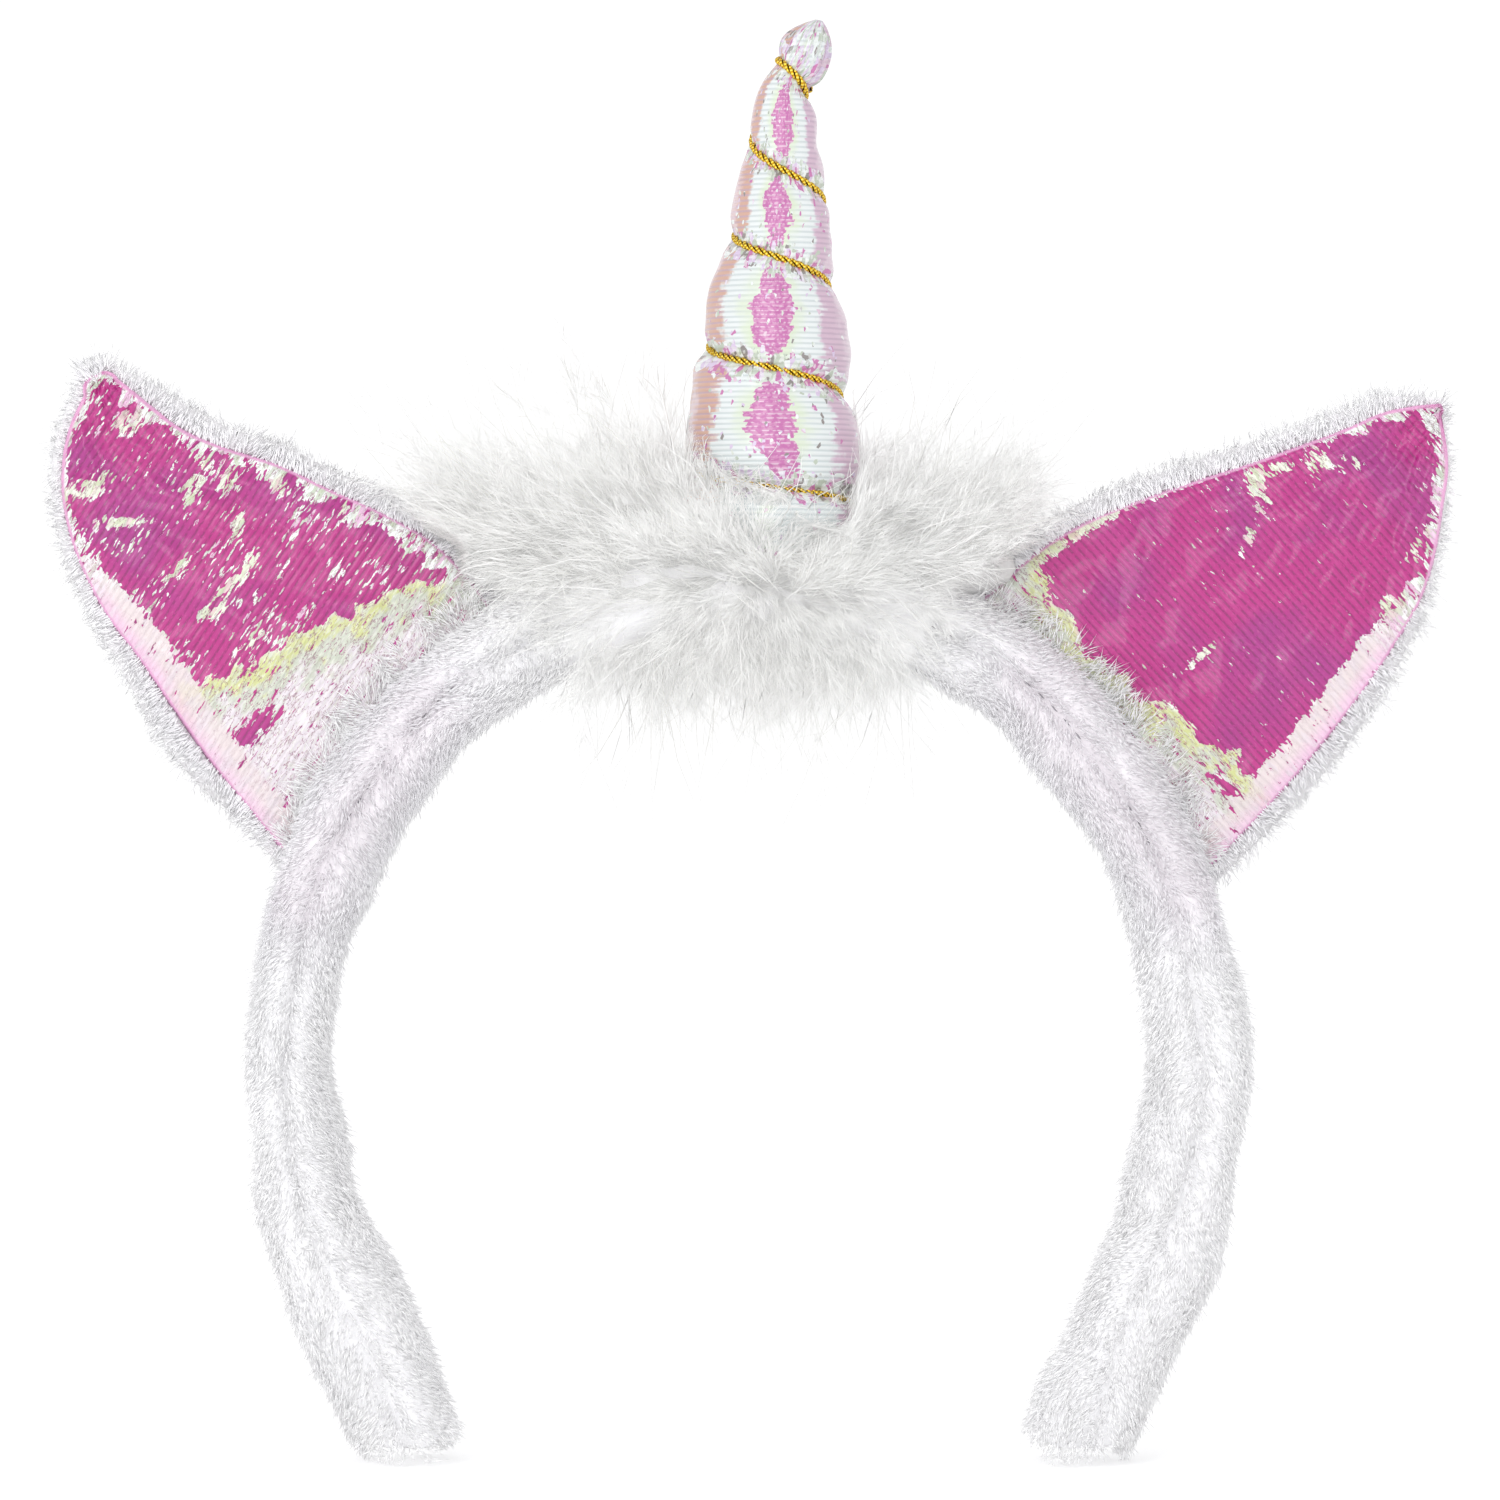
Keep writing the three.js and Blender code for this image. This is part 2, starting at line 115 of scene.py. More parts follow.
def ripple(seed, size, *coordinates):
    """Smooth noise of about -1 to 1: the sum of ten sine waves of about this wavelength,
    whose headings and phases are drawn at random."""
    draw = np.random.default_rng(seed)
    total = 0
    for _ in range(10):
        heading = draw.normal(size=len(coordinates))
        heading = heading / np.linalg.norm(heading)
        wavelength = size * draw.uniform(0.7, 1.7)
        phase = draw.uniform(0, 2 * pi)
        reach = sum(part * place for part, place in zip(heading, coordinates))
        total = total + np.sin(2 * pi * reach / wavelength + phase)
    return total / 10 ** 0.5


def spread(count, seed):
    """Evenly scattered pairs of shares from 0 to 1: steps of the two plastic-number shares,
    each pair then moved a little at random."""
    draw = np.random.default_rng(seed)
    steps = np.arange(count)[:, None] * np.array([0.7548776662, 0.5698402910])
    return (steps + draw.random(2) + draw.normal(size=(count, 2)) * 0.3 / count ** 0.5) % 1


# Meshes

def make_piece(name, points, faces, material, uv=None, marks=None):
    """A smooth mesh object at the origin: faces is a list of arrays, one for each number of
    corners, uv gives each point its place on the piece's own map, and marks holds named
    values for each point."""
    mesh = bpy.data.meshes.new(name)
    corners = np.concatenate([group.ravel() for group in faces])
    sizes = np.concatenate([np.full(len(group), group.shape[1]) for group in faces])
    starts = np.concatenate([[0], np.cumsum(sizes)[:-1]])
    mesh.vertices.add(len(points))
    mesh.vertices.foreach_set("co", (points * MM).astype(np.float32).ravel())
    mesh.loops.add(len(corners))
    mesh.loops.foreach_set("vertex_index", corners.astype(np.int32))
    mesh.polygons.add(len(sizes))
    mesh.polygons.foreach_set("loop_start", starts.astype(np.int32))
    mesh.polygons.foreach_set("use_smooth", np.ones(len(sizes), bool))
    mesh.update(calc_edges=True)
    if uv is not None:
        layer = mesh.uv_layers.new(name="OFBake")
        layer.data.foreach_set("uv", uv[corners].astype(np.float32).ravel())
    for mark, values in (marks or {}).items():
        attribute = mesh.attributes.new(mark, "FLOAT", "POINT")
        attribute.data.foreach_set("value", values.astype(np.float32).ravel())
    mesh.validate()
    mesh.materials.append(material)
    piece = bpy.data.objects.new(name, mesh)
    scene.collection.objects.link(piece)
    return piece


def skin(rings):
    """Closed surface over rows of ring points, with a fan to the middle of each end ring.
    The faces are turned so that the volume inside comes out positive."""
    rows, sides = rings.shape[:2]
    count = rows * sides
    points = np.vstack([rings.reshape(-1, 3), rings[0].mean(0), rings[-1].mean(0)])
    row = np.arange(rows - 1)[:, None] * sides
    side = np.arange(sides)
    after = (side + 1) % sides
    quads = np.stack([row + side, row + after, row + sides + after, row + sides + side], -1)
    quads = quads.reshape(-1, 4)
    first = np.stack([after, side, np.full(sides, count)], -1)
    top = count - sides
    last = np.stack([top + side, top + after, np.full(sides, count + 1)], -1)
    fans = np.vstack([first, last])
    a, b, c, d = (points[quads[:, corner]] for corner in range(4))
    volume = np.einsum("ij,ij->i", a, np.cross(b, c) + np.cross(c, d)).sum()
    if volume < 0:
        quads = quads[:, ::-1]
        fans = fans[:, ::-1]
    return points, [quads, fans]


def closed_piece(name, rings, material, **marks):
    """A piece with a closed skin over rows of ring points. Each mark gives a value for every
    ring point, and is 0 in the middle of both end rings."""
    points, faces = skin(rings)
    marks = {mark: np.r_[values.ravel(), 0, 0] for mark, values in marks.items()}
    return make_piece(name, points, faces, material, marks=marks)


def bent(root, length, first, last):
    """Hairs as root, middle and tip: half their length along a first heading and half along
    a last one."""
    middle = root + 0.5 * length * unit(first)
    tip = middle + 0.5 * length * unit(last)
    return np.stack([root, middle, tip], -2)


def hair_piece(name, paths, width, tone, material, taper=1.0):
    """Fine closed hairs: each is pointed at both ends of its path, with a ring of three points
    at every path point between, whose radius is its width times the taper there. A hair's map
    place is its tone and the share along it, so a colour can run from root to tip."""
    count, length = paths.shape[:2]
    inner = length - 2
    along = unit(np.gradient(paths, axis=1)[:, 1:-1])
    lift = np.where(np.abs(along[..., 2:]) > 0.9, np.array([1.0, 0, 0]), np.array([0, 0, 1.0]))
    side = unit(np.cross(along, lift))
    over = np.cross(along, side)
    turn = around(3)[:, None]
    offset = np.cos(turn) * side[:, :, None] + np.sin(turn) * over[:, :, None]
    radius = width[:, None] * taper * np.ones(inner)
    middle = paths[:, 1:-1, None] + offset * radius[..., None, None]
    points = np.concatenate([paths[:, :1], middle.reshape(count, inner * 3, 3), paths[:, -1:]], 1)
    size = 2 + 3 * inner
    faces = []
    for corner in range(3):
        onward = (corner + 1) % 3
        faces.append([0, 1 + onward, 1 + corner])
        faces.append([size - 1, size - 4 + corner, size - 4 + onward])
        for ring in range(inner - 1):
            low = 1 + 3 * ring
            faces.append([low + corner, low + onward, low + 3 + onward])
            faces.append([low + corner, low + 3 + onward, low + 3 + corner])
    faces = (np.arange(count)[:, None, None] * size + np.array(faces)).reshape(-1, 3)
    flat = points.reshape(-1, 3)
    corners = flat[faces] - flat[(faces[:, :1] // size) * size]
    volume = np.einsum("ij,ij->i", corners[:, 0], np.cross(corners[:, 1], corners[:, 2])).sum()
    if volume < 0:
        faces = faces[:, ::-1]
    steps = np.r_[0, np.repeat(np.arange(1, inner + 1), 3), inner + 1]
    shares = np.repeat(steps[None] / (inner + 1), count, 0)
    apart = 0.004 * np.r_[1, np.tile(np.arange(3), inner), 1]
    uv = np.stack([tone[:, None] + apart, shares], -1).reshape(-1, 2)
    return make_piece(name, flat, [faces], material, uv=np.clip(uv, 0.001, 0.999))


# Materials: arithmetic on a Wire adds Math nodes, and add() places any other node

class Wire:
    """A value on its way through a material's nodes."""

    def __init__(self, tree, socket=None):
        self.tree = tree
        self.socket = socket

    def add(self, kind, out=0, sockets=None, stops=None, **settings):
        """A new node: first its settings and its ramp's stops, then the values or wires of its
        sockets. Returns the wire from one of its outputs."""
        node = self.tree.nodes.new(kind)
        for name, value in settings.items():
            setattr(node, name, value)
        if stops:
            ramp = node.color_ramp.elements
            while len(ramp) < len(stops):
                ramp.new(1.0)
            for element, (position, colour) in zip(ramp, stops):
                element.position = position
                element.color = colour
        for name, value in (sockets or {}).items():
            if isinstance(value, Wire):
                self.tree.links.new(value.socket, node.inputs[name])
            else:
                node.inputs[name].default_value = value
        return Wire(self.tree, node.outputs[out])

    def math(self, operation, *values):
        """A Math node of this kind over values and wires."""
        return self.add(
            "ShaderNodeMath",
            sockets=dict(enumerate(values)),
            operation=operation,
        )

    def __add__(self, other):
        return self.math("ADD", self, other)

    def __sub__(self, other):
        return self.math("SUBTRACT", self, other)

    def __rsub__(self, other):
        return self.math("SUBTRACT", other, self)

    def __mul__(self, other):
        return self.math("MULTIPLY", self, other)

    def __truediv__(self, other):
        return self.math("DIVIDE", self, other)

    def __abs__(self):
        return self.math("ABSOLUTE", self)

    __radd__ = __add__
    __rmul__ = __mul__

    def below(self, limit):
        """1 where the wire is less than the limit, 0 elsewhere."""
        return self.math("LESS_THAN", self, limit)

    def ramp(self, low, high):
        """0 where the wire is at low, 1 where it is at high, eased and held outside."""
        return self.add(
            "ShaderNodeMapRange",
            sockets={"Value": self, "From Min": low, "From Max": high},
            interpolation_type="SMOOTHSTEP",
        )


def colour(red, green, blue):
    """A colour as the eye measures it, from 0 to 255, turned into the light it gives back."""
    return (*[((part / 255 + 0.055) / 1.055) ** 2.4 for part in (red, green, blue)], 1.0)


def layered(base, *layers):
    """Colours laid over a base one by one: each layer is the share of it that shows and its
    colour, as a wire or as red, green and blue."""
    for share, over in layers:
        over = over if isinstance(over, Wire) else colour(*over)
        base = share.add(
            "ShaderNodeMix",
            out=2,
            sockets={0: share, 6: base, 7: over},
            data_type="RGBA",
        )
    return base


def position(wire):
    """Where a point is on the piece, in millimetres."""
    place = wire.add("ShaderNodeTexCoord", out=3)
    return wire.add(
        "ShaderNodeVectorMath",
        sockets={0: place, "Scale": 1 / MM},
        operation="SCALE",
    )


def part_of(vector, axis):
    """How far a place lies along an axis."""
    return vector.add(
        "ShaderNodeVectorMath",
        out=1,
        sockets={0: vector, 1: axis},
        operation="DOT_PRODUCT",
    )


def joined(wire, first, second, third=0.0):
    """Three numbers as one place."""
    return wire.add("ShaderNodeCombineXYZ", sockets={0: first, 1: second, 2: third})


def noise(place, size, detail=2.0, roughness=0.5):
    """Soft noise from 0 to 1 with features of about this size."""
    return place.add(
        "ShaderNodeTexNoise",
        sockets={"Vector": place, "Scale": 1 / size, "Detail": detail, "Roughness": roughness},
    )


def waves(place, spacing):
    """A sine wave from -1 to 1 with its crests this far apart."""
    phase = place * (2 * pi / spacing)
    return phase.math("SINE", phase)


def mark(wire, name):
    """A value that the mesh carries at its points."""
    return wire.add("ShaderNodeAttribute", out=2, attribute_name=name)


def finish(name, settings):
    """A new material, its principled shader with constant settings, and a first wire."""
    material = bpy.data.materials.new(name)
    material.use_nodes = True
    tree = material.node_tree
    shader = tree.nodes["Principled BSDF"]
    for socket, value in settings.items():
        shader.inputs[socket].default_value = value
    return material, Wire(tree), shader


def feed(wire, shader, socket):
    """The wire sets one of the shader's sockets."""
    wire.tree.links.new(wire.socket, shader.inputs[socket])


def bump(height, strength, distance):
    """Relief of this depth in millimetres."""
    return height.add(
        "ShaderNodeBump",
        sockets={"Height": height, "Strength": strength, "Distance": distance * MM},
    )


# Faint constant glows, in white: on the hair and the cloth under the pile they are painted light
# that stands for the light the hairs pass on to each other; the floor's keeps it evenly bright
white_light = (1.0, 1.0, 1.0, 1.0)
pile_painted_glow = 0.08
down_painted_glow = 0.135
floor_glow = 0.2


def hair_material(name, shades, glow):
    """White hair whose colour runs over its tone, by the stops. Its faint glow stands for the
    light that hairs pass on to each other."""
    material, wire, shader = finish(name, {
        "Roughness": 0.85,
        "Specular IOR Level": 0.15,
        "Sheen Weight": 0.2,
        "Sheen Roughness": 0.5,
        "Emission Color": white_light,
        "Emission Strength": glow
    })
    place = wire.add("ShaderNodeUVMap", uv_map="OFBake")
    tone = wire.add("ShaderNodeSeparateXYZ", sockets={0: place})
    feed(tone.add("ShaderNodeValToRGB", sockets={0: tone}, stops=shades), shader, "Base Color")
    return material


def plush_ground():
    """The cloth under the pile: pale, mottled and finely tufted, a little greyer than the pile as
    painted shade under it, pinker and darker near the ears as painted reflected light and shade,
    and with the pile's painted glow.
    """
    material, wire, shader = finish("plush_ground", {
        "Roughness": 0.95,
        "Specular IOR Level": 0.1,
        "Sheen Weight": 0.3,
        "Emission Color": white_light,
        "Emission Strength": pile_painted_glow
    })
    place = position(wire)
    mottle = noise(place, 3.0, detail=3.0)
    fine = noise(place, 0.5, detail=3.0, roughness=0.7)
    base = layered(
        colour(240, 239, 242),
        (mottle, (249, 249, 250)),
        (mark(wire, "blush") * 0.6, (234, 225, 232))
    )
    feed(base, shader, "Base Color")
    feed(bump(fine, 0.6, 0.5), shader, "Normal")
    return material


def down_core():
    """The matted bed of the down under its loose barbs, greyer than them: painted shade inside the
    down.
    """
    material, wire, shader = finish("down_core", {"Roughness": 1.0, "Specular IOR Level": 0.05})
    place = position(wire)
    fibres = noise(place, 0.8, detail=4.0, roughness=0.7)
    base = layered(colour(226, 226, 225), (noise(place, 5.0), (234, 234, 233)))
    feed(base, shader, "Base Color")
    feed(bump(fibres, 0.6, 0.6), shader, "Normal")
    return material


def shards(wire, across, along, width, length, seed):
    """Foil facets: stretched, crumpled cells, each with three random numbers of its own."""
    crumple = noise(joined(wire, across, along, seed), 1.6, detail=2.0)
    shifted = joined(wire, across / width + crumple * 1.3, along / length + crumple * 0.9, seed)
    cell = wire.add(
        "ShaderNodeTexVoronoi",
        out=1,
        sockets={"Vector": shifted, "Scale": 1.0, "Randomness": 1.0},
        feature="F1",
        voronoi_dimensions="2D",
    )
    red = wire.add("ShaderNodeSeparateColor", sockets={0: cell})
    node = red.socket.node
    return red, Wire(wire.tree, node.outputs[1]), Wire(wire.tree, node.outputs[2])


def ear_foil(name, rib_angle):
    """Ribbed magenta foil cloth with its reflections painted on: facets turn pale where the mesh's
    pale mark says that the foil catches the light, in white, in grey and yellow green by its lime
    mark, or from pink to beige away from the edge by its rose mark, with a bright pink rim.
    Painted shade darkens the ribs' grooves and the creases."""
    material, wire, shader = finish(name, {
        "Specular IOR Level": 0.5,
        "Coat Roughness": 0.12
    })
    pale, flecks, lime, rose, rim, outer, inset = (
        mark(wire, each) for each in ("pale", "flecks", "lime", "rose", "rim", "outer", "inset")
    )
    place = position(wire)
    turn = radians(rib_angle)
    across = part_of(place, (-sin(turn), 0.0, cos(turn)))
    along = part_of(place, (cos(turn), 0.0, sin(turn)))

    def streaks(finer, longer, layer, detail=3.0, roughness=0.6):
        """Noise that is drawn out along the ribs."""
        return noise(joined(wire, across * finer, along * longer, layer), 1.0, detail, roughness)

    # The cloth itself, darker in the ribs' grooves as painted shade
    rib = waves(across, 1.05)
    weave = streaks(3.0, 1.4, 0.0, detail=2.0, roughness=0.5)
    magenta = layered(
        colour(184, 42, 130),
        (noise(place, 14.0).ramp(0.45, 0.68), (168, 48, 134)),
        (noise(place, 5.0).ramp(0.45, 0.8) * 0.4, (196, 70, 144)),
        (rib.ramp(-0.1, -1.0) * weave.ramp(0.3, 0.6) * 0.75, (112, 22, 86)),
        (weave.ramp(0.5, 0.85) * 0.35, (222, 110, 172))
    )

    # Which facets turn pale: painted reflections and glints
    pick, hue, light = shards(wire, across, along, 0.62, 2.6, 3.0)
    chip, _, _ = shards(wire, across, along, 0.26, 1.1, 4.0)
    slivers = streaks(1.1, 0.4, 6.0, detail=4.0, roughness=0.65)
    dashes = streaks(3.4, 0.9, 9.0, roughness=0.55)
    drive = pale * 0.95 + (slivers - 0.5) + (pick - 0.5) * 0.8
    specks = chip.below(flecks * 1.5) * (0.53 - flecks).below(dashes)
    flip = drive.math("MAXIMUM", drive.math("GREATER_THAN", drive, 0.56), specks)

    # Their colours: the painted reflections' white, grey, yellow green, pink and beige
    folds = streaks(0.5, 0.22, 4.0)
    # Dark lines along the creases and darker rib grooves in the facets: painted shade
    crease = abs(streaks(1.1, 0.3, 8.0) - 0.5).ramp(0.022, 0.006)
    depth = inset + (folds - 0.5) * 16.0
    bright = layered(
        colour(206, 216, 198),
        (hue.ramp(0.1, 0.4), (246, 249, 248)),
        (hue.ramp(0.82, 0.86), (232, 192, 220)),
        (dashes.ramp(0.56, 0.6) * 0.7, (196, 206, 178))
    )
    limey = layered(
        colour(212, 217, 150),
        (depth.ramp(0.5, 3.5), (206, 212, 196)),
        (depth.ramp(4.0, 7.5), (234, 226, 233)),
        (dashes.ramp(0.5, 0.62) * 0.6, (232, 234, 222)),
        (slivers.ramp(0.44, 0.36) * 0.35, (188, 180, 168))
    )
    rosy = layered(
        colour(240, 198, 226),
        (outer.ramp(0.4, 3.4), (232, 218, 219)),
        (folds.ramp(0.5, 0.62) * 0.6, (228, 216, 224))
    )
    tint = layered(
        bright,
        (lime, limey),
        (rose, rosy),
        (rib.ramp(-0.2, -1.0) * 0.15, (140, 120, 130)),
        (crease * (1.0 - rose * 0.8) * 0.7, (146, 92, 116))
    )
    cracks = streaks(1.5, 0.28, 2.0, detail=4.0)
    cracked = cracks.ramp(0.63, 0.645) * lime.ramp(0.4, 0.7) * (1.0 - rose)
    face = layered(
        magenta,
        (flip * (1.0 - cracked), tint),
        (rim.ramp(0.85, 0.45), (228, 164, 206))
    )
    feed(face, shader, "Base Color")
    feed(flip * -0.1 + 0.34, shader, "Roughness")
    feed(flip * 0.2 + 0.25, shader, "Coat Weight")
    height = rib * 0.25 + light * flip + slivers * flip * 2.0
    feed(bump(height, 0.7, 0.35), shader, "Normal")
    return material


def horn_cloth():
    """Pearly ribbed cloth with its iridescent reflections painted on by the angle round the horn:
    an orchid stripe down the front and back, white beside it with a greenish edge, beige at the
    sides, and crumpled facets along the cord that catch the light, with painted shade in the
    ribs' grooves."""
    material, wire, shader = finish("horn_cloth", {
        "Roughness": 0.3,
        "Specular IOR Level": 0.5,
        "Coat Roughness": 0.1
    })
    side, swell, near, bulb = (mark(wire, each) for each in ("side", "swell", "near", "bulb"))
    place = position(wire)
    height = part_of(place, (0.0, 0.0, 1.0))
    rib = waves(height, 0.8)
    rib_pick = wire.add(
        "ShaderNodeTexWhiteNoise",
        sockets={"W": height.math("FLOOR", height / 0.4)},
        noise_dimensions="1D",
    )

    # Where the stripe and the flanks end: their edges wander and jump from rib to rib
    jump = (rib_pick - 0.5) * 0.09
    wander = (noise(place, 3.0, detail=3.0, roughness=0.6) - 0.5) * 0.3
    drift = noise(place, 11.0, detail=1.0)
    past_stripe = abs(side + wander + (drift - 0.5) * 0.5) + jump - (swell * 0.27 + 0.04)
    away = abs(side + (drift - 0.5) * 0.35) + jump + wander

    # Colours: painted iridescent reflection, and painted shade in the ribs' grooves
    woven = noise(joined(wire, side * 16.0, height * 1.6), 1.0)
    dots = waves(height, 0.62).ramp(0.4, 1.0) * woven.ramp(0.44, 0.58)
    orchid = layered(
        colour(190, 108, 166),
        (woven.ramp(0.4, 0.62), (202, 140, 180)),
        (dots * 0.8, (226, 208, 220))
    )
    white = layered(
        colour(200, 208, 209),
        (rib.ramp(-1.0, 0.2), (224, 229, 229)),
        (past_stripe.ramp(0.26, 0.0) * drift.ramp(0.35, 0.6) * 0.8, (208, 220, 190))
    )
    tan = layered(
        colour(204, 164, 146),
        (side.ramp(-0.2, 0.2), (206, 178, 196)),
        (rib.ramp(0.2, -1.0) * 0.7, (180, 156, 176)),
        (away.ramp(0.9, 1.0) * 0.6, (224, 206, 216))
    )
    pick, hue, light = shards(wire, side * 9.0, height, 0.6, 1.1, 5.0)
    fine_pick, _, fine_light = shards(wire, side * 9.0, height, 0.3, 0.6, 6.0)
    coarse = pick.below(near * 0.95 + bulb)
    crumpled = pick.math("MAXIMUM", coarse, fine_pick.below(near * 0.6 + 0.05))
    pastel = layered(
        colour(184, 194, 178),
        (hue.ramp(0.2, 0.5), (228, 234, 232)),
        (hue.ramp(0.62, 0.66), (212, 194, 220)),
        (light.below(0.2 - bulb * 0.15), (194, 118, 170)),
        (light.ramp(0.88, 0.9), (140, 134, 132)),
        (fine_light.below(0.3) * 0.5, (236, 238, 236))
    )
    cloth = layered(
        white,
        (away.ramp(0.64, 0.73), tan),
        (past_stripe.below(0.0), orchid),
        (crumpled, pastel)
    )
    feed(cloth, shader, "Base Color")
    feed(crumpled * 0.2 + 0.3, shader, "Coat Weight")
    feed(bump(rib * 0.25 + light * crumpled, 0.6, 0.3), shader, "Normal")
    return material


def gold_cord():
    """Metal thread: bright gold with fine crosswise threads, lighter on their crests as painted
    highlight, and dark brown towards the middle as painted shade between the plies.
    """
    material, wire, shader = finish("gold_cord", {"Roughness": 0.28, "Coat Roughness": 0.2})
    crevice_shade = mark(wire, "crevice_shade")
    thread = waves(mark(wire, "turns"), 1.0)
    gold = layered(
        colour(212, 160, 26),
        (thread.ramp(-0.6, 0.6), (255, 226, 96)),
        (crevice_shade.ramp(0.2, 0.6), (74, 44, 8))
    )
    feed(gold, shader, "Base Color")
    feed(1.0 - crevice_shade * 0.5, shader, "Metallic")
    feed(bump(thread, 0.5, 0.08), shader, "Normal")
    return material


# Band: the CAD's route, padding and seam, drawn finely

crown_height = 131.7
half_span = 68.5
band_thickness = 13.3
band_width = 24.0
band_squareness = 0.88
seam_depth = 2.2
seam_width = 0.24
seam_wander = 0.16
padding_lump = 0.45

# Pile: the size of its tufts, the height over the floor at which the cloth tube ends, the
# middle height of the pile's hem, its wave and its limits, and how far both rise on the side
# of the head. Then the painted pink reflected light and painted shade near the ears: the lines
# on which the ears' feet stand, seen from the front, how far the painted pink reaches from
# them, and its tone
tuft_size = 2.3
tube_end = 2.4
hem_height = 0.9
hem_wave = 1.9
hem_limits = (0.15, 3.6)
hem_inner_rise = 3.4
ear_feet = (((-47, 113), (-66, 85)), ((43, 116), (66, 86)))
blush_reach = 8.0
pink_light_and_shade_tone = 0.95

arm_route = table(("across", "up"), [
    (0.000, 1.000),
    (0.219, 0.985),
    (0.431, 0.943),
    (0.613, 0.885),
    (0.766, 0.801),
    (0.880, 0.706),
    (0.953, 0.604),
    (0.993, 0.501),
    (0.997, 0.438),
    (0.972, 0.367),
    (0.942, 0.281),
    (0.883, 0.197),
    (0.807, 0.114),
    (0.750, 0.045),
    (0.708, -0.015),
    (0.683, -0.053)
])
arm_fullness = table(("along", "left", "right"), [
    (0.00, 1.00, 1.00),
    (0.33, 1.03, 1.03),
    (0.42, 1.00, 0.99),
    (0.48, 0.93, 0.95),
    (0.55, 0.86, 1.04),
    (0.60, 0.83, 1.08),
    (0.65, 0.87, 1.05),
    (0.69, 0.96, 1.07),
    (0.74, 1.07, 1.15),
    (0.80, 1.18, 1.19),
    (0.87, 1.19, 1.17),
    (0.93, 1.08, 1.12),
    (1.00, 1.00, 1.03)
])


def band_route():
    """Both arms' points joined by cubics whose end slopes come from the square roots of the
    distances between points: shares of the length, places and directions along it."""
    arm = np.c_[arm_route["across"] * half_span, arm_route["up"] * crown_height]
    points = np.vstack([arm[:0:-1] * (-1, 1), arm])
    ends = np.vstack([2 * points[0] - points[1], points, 2 * points[-1] - points[-2]])
    gaps = np.linalg.norm(np.diff(ends, axis=0), axis=1)[:, None] ** 0.5
    before, start, end, after = ends[:-3], ends[1:-2], ends[2:-1], ends[3:]
    first, middle, last = gaps[:-2], gaps[1:-1], gaps[2:]
    leave = (start - before) / first - (end - before) / (first + middle) + (end - start) / middle
    arrive = (end - start) / middle - (after - start) / (middle + last) + (after - end) / last
    t = np.linspace(0, 1, 40, endpoint=False)[None, :, None]
    places = mix(start[:, None], end[:, None], t * t * (3 - 2 * t))
    places = places + (leave * middle)[:, None] * t * (1 - t) ** 2
    places = places + (arrive * middle)[:, None] * t * t * (t - 1)
    places = np.vstack([places.reshape(-1, 2), points[-1]])
    lengths = path_lengths(places)
    return lengths / lengths[-1], places, unit(np.gradient(places, axis=0)), lengths[-1]


route_shares, route_places, route_headings, route_length = band_route()


def band_at(share):
    """Place, heading, outward direction and half thickness of the band: share runs from the
    left foot to the right one."""
    share = np.asarray(share, float)
    level = np.zeros_like(share)

    def along(values):
        return np.interp(share, route_shares, values)

    middle = np.stack([along(route_places[:, 0]), level, along(route_places[:, 1])], -1)
    across = along(route_headings[:, 0])
    up = along(route_headings[:, 1])
    heading = unit(np.stack([across, level, up], -1))
    outward = unit(np.stack([-up, level, across], -1))
    arm = np.abs(2 * share - 1)
    left = curve(arm_fullness, "along", "left", arm)
    right = curve(arm_fullness, "along", "right", arm)
    half = 0.5 * band_thickness * np.where(share < 0.5, left, right)
    return middle, heading, outward, half


def seam_angle(share):
    """The seam runs along the front of the band and wanders a little."""
    return -0.5 * pi + seam_wander * ripple(11, 45.0, share * route_length)


def seam_distance(share, angle):
    """Turn from the seam, from minus to plus half a turn."""
    return (angle - seam_angle(share) + pi) % (2 * pi) - pi


def band_point(share, angle, grow=0.0, lumps=1.0):
    """A flattened oval round the route, sunk along the seam, and lumpy with its padding:
    each half size times the cosine or sine, both raised to the band's squareness."""
    middle, _, outward, half = band_at(share)
    cosine = np.cos(angle)
    sine = np.sin(angle)
    crease = seam_depth * np.exp(-((seam_distance(share, angle) / seam_width) ** 2))
    swell = padding_lump * lumps * ripple(12, 16.0, share * route_length, 9 * cosine, 9 * sine)
    size = grow + swell - crease
    out = (half + size) * np.sign(cosine) * np.abs(cosine) ** band_squareness
    back = (0.5 * band_width + size) * np.sign(sine) * np.abs(sine) ** band_squareness
    return middle + outward * out[..., None] + to_back * back[..., None]


def band_normal(share, angle):
    """Square to the band's surface: the cross product of small steps along and round it."""
    along = band_point(share + 1e-3, angle) - band_point(share - 1e-3, angle)
    around = band_point(share, angle + 0.06) - band_point(share, angle - 0.06)
    normal = unit(np.cross(along, around))
    away = band_point(share, angle) - band_at(share)[0]
    return normal * np.sign(np.sum(normal * away, -1, keepdims=True))


def floor_share(angle, side):
    """The share at which the band's surface reaches the floor at each angle: side is -1 at
    the left foot and 1 at the right one."""
    shares = 0.5 + 0.5 * side * np.linspace(0.86, 1.0, 400)
    heights = band_point(shares[:, None], angle[None])[..., 2]
    return shares[np.argmax(heights < 0.05, axis=0)]


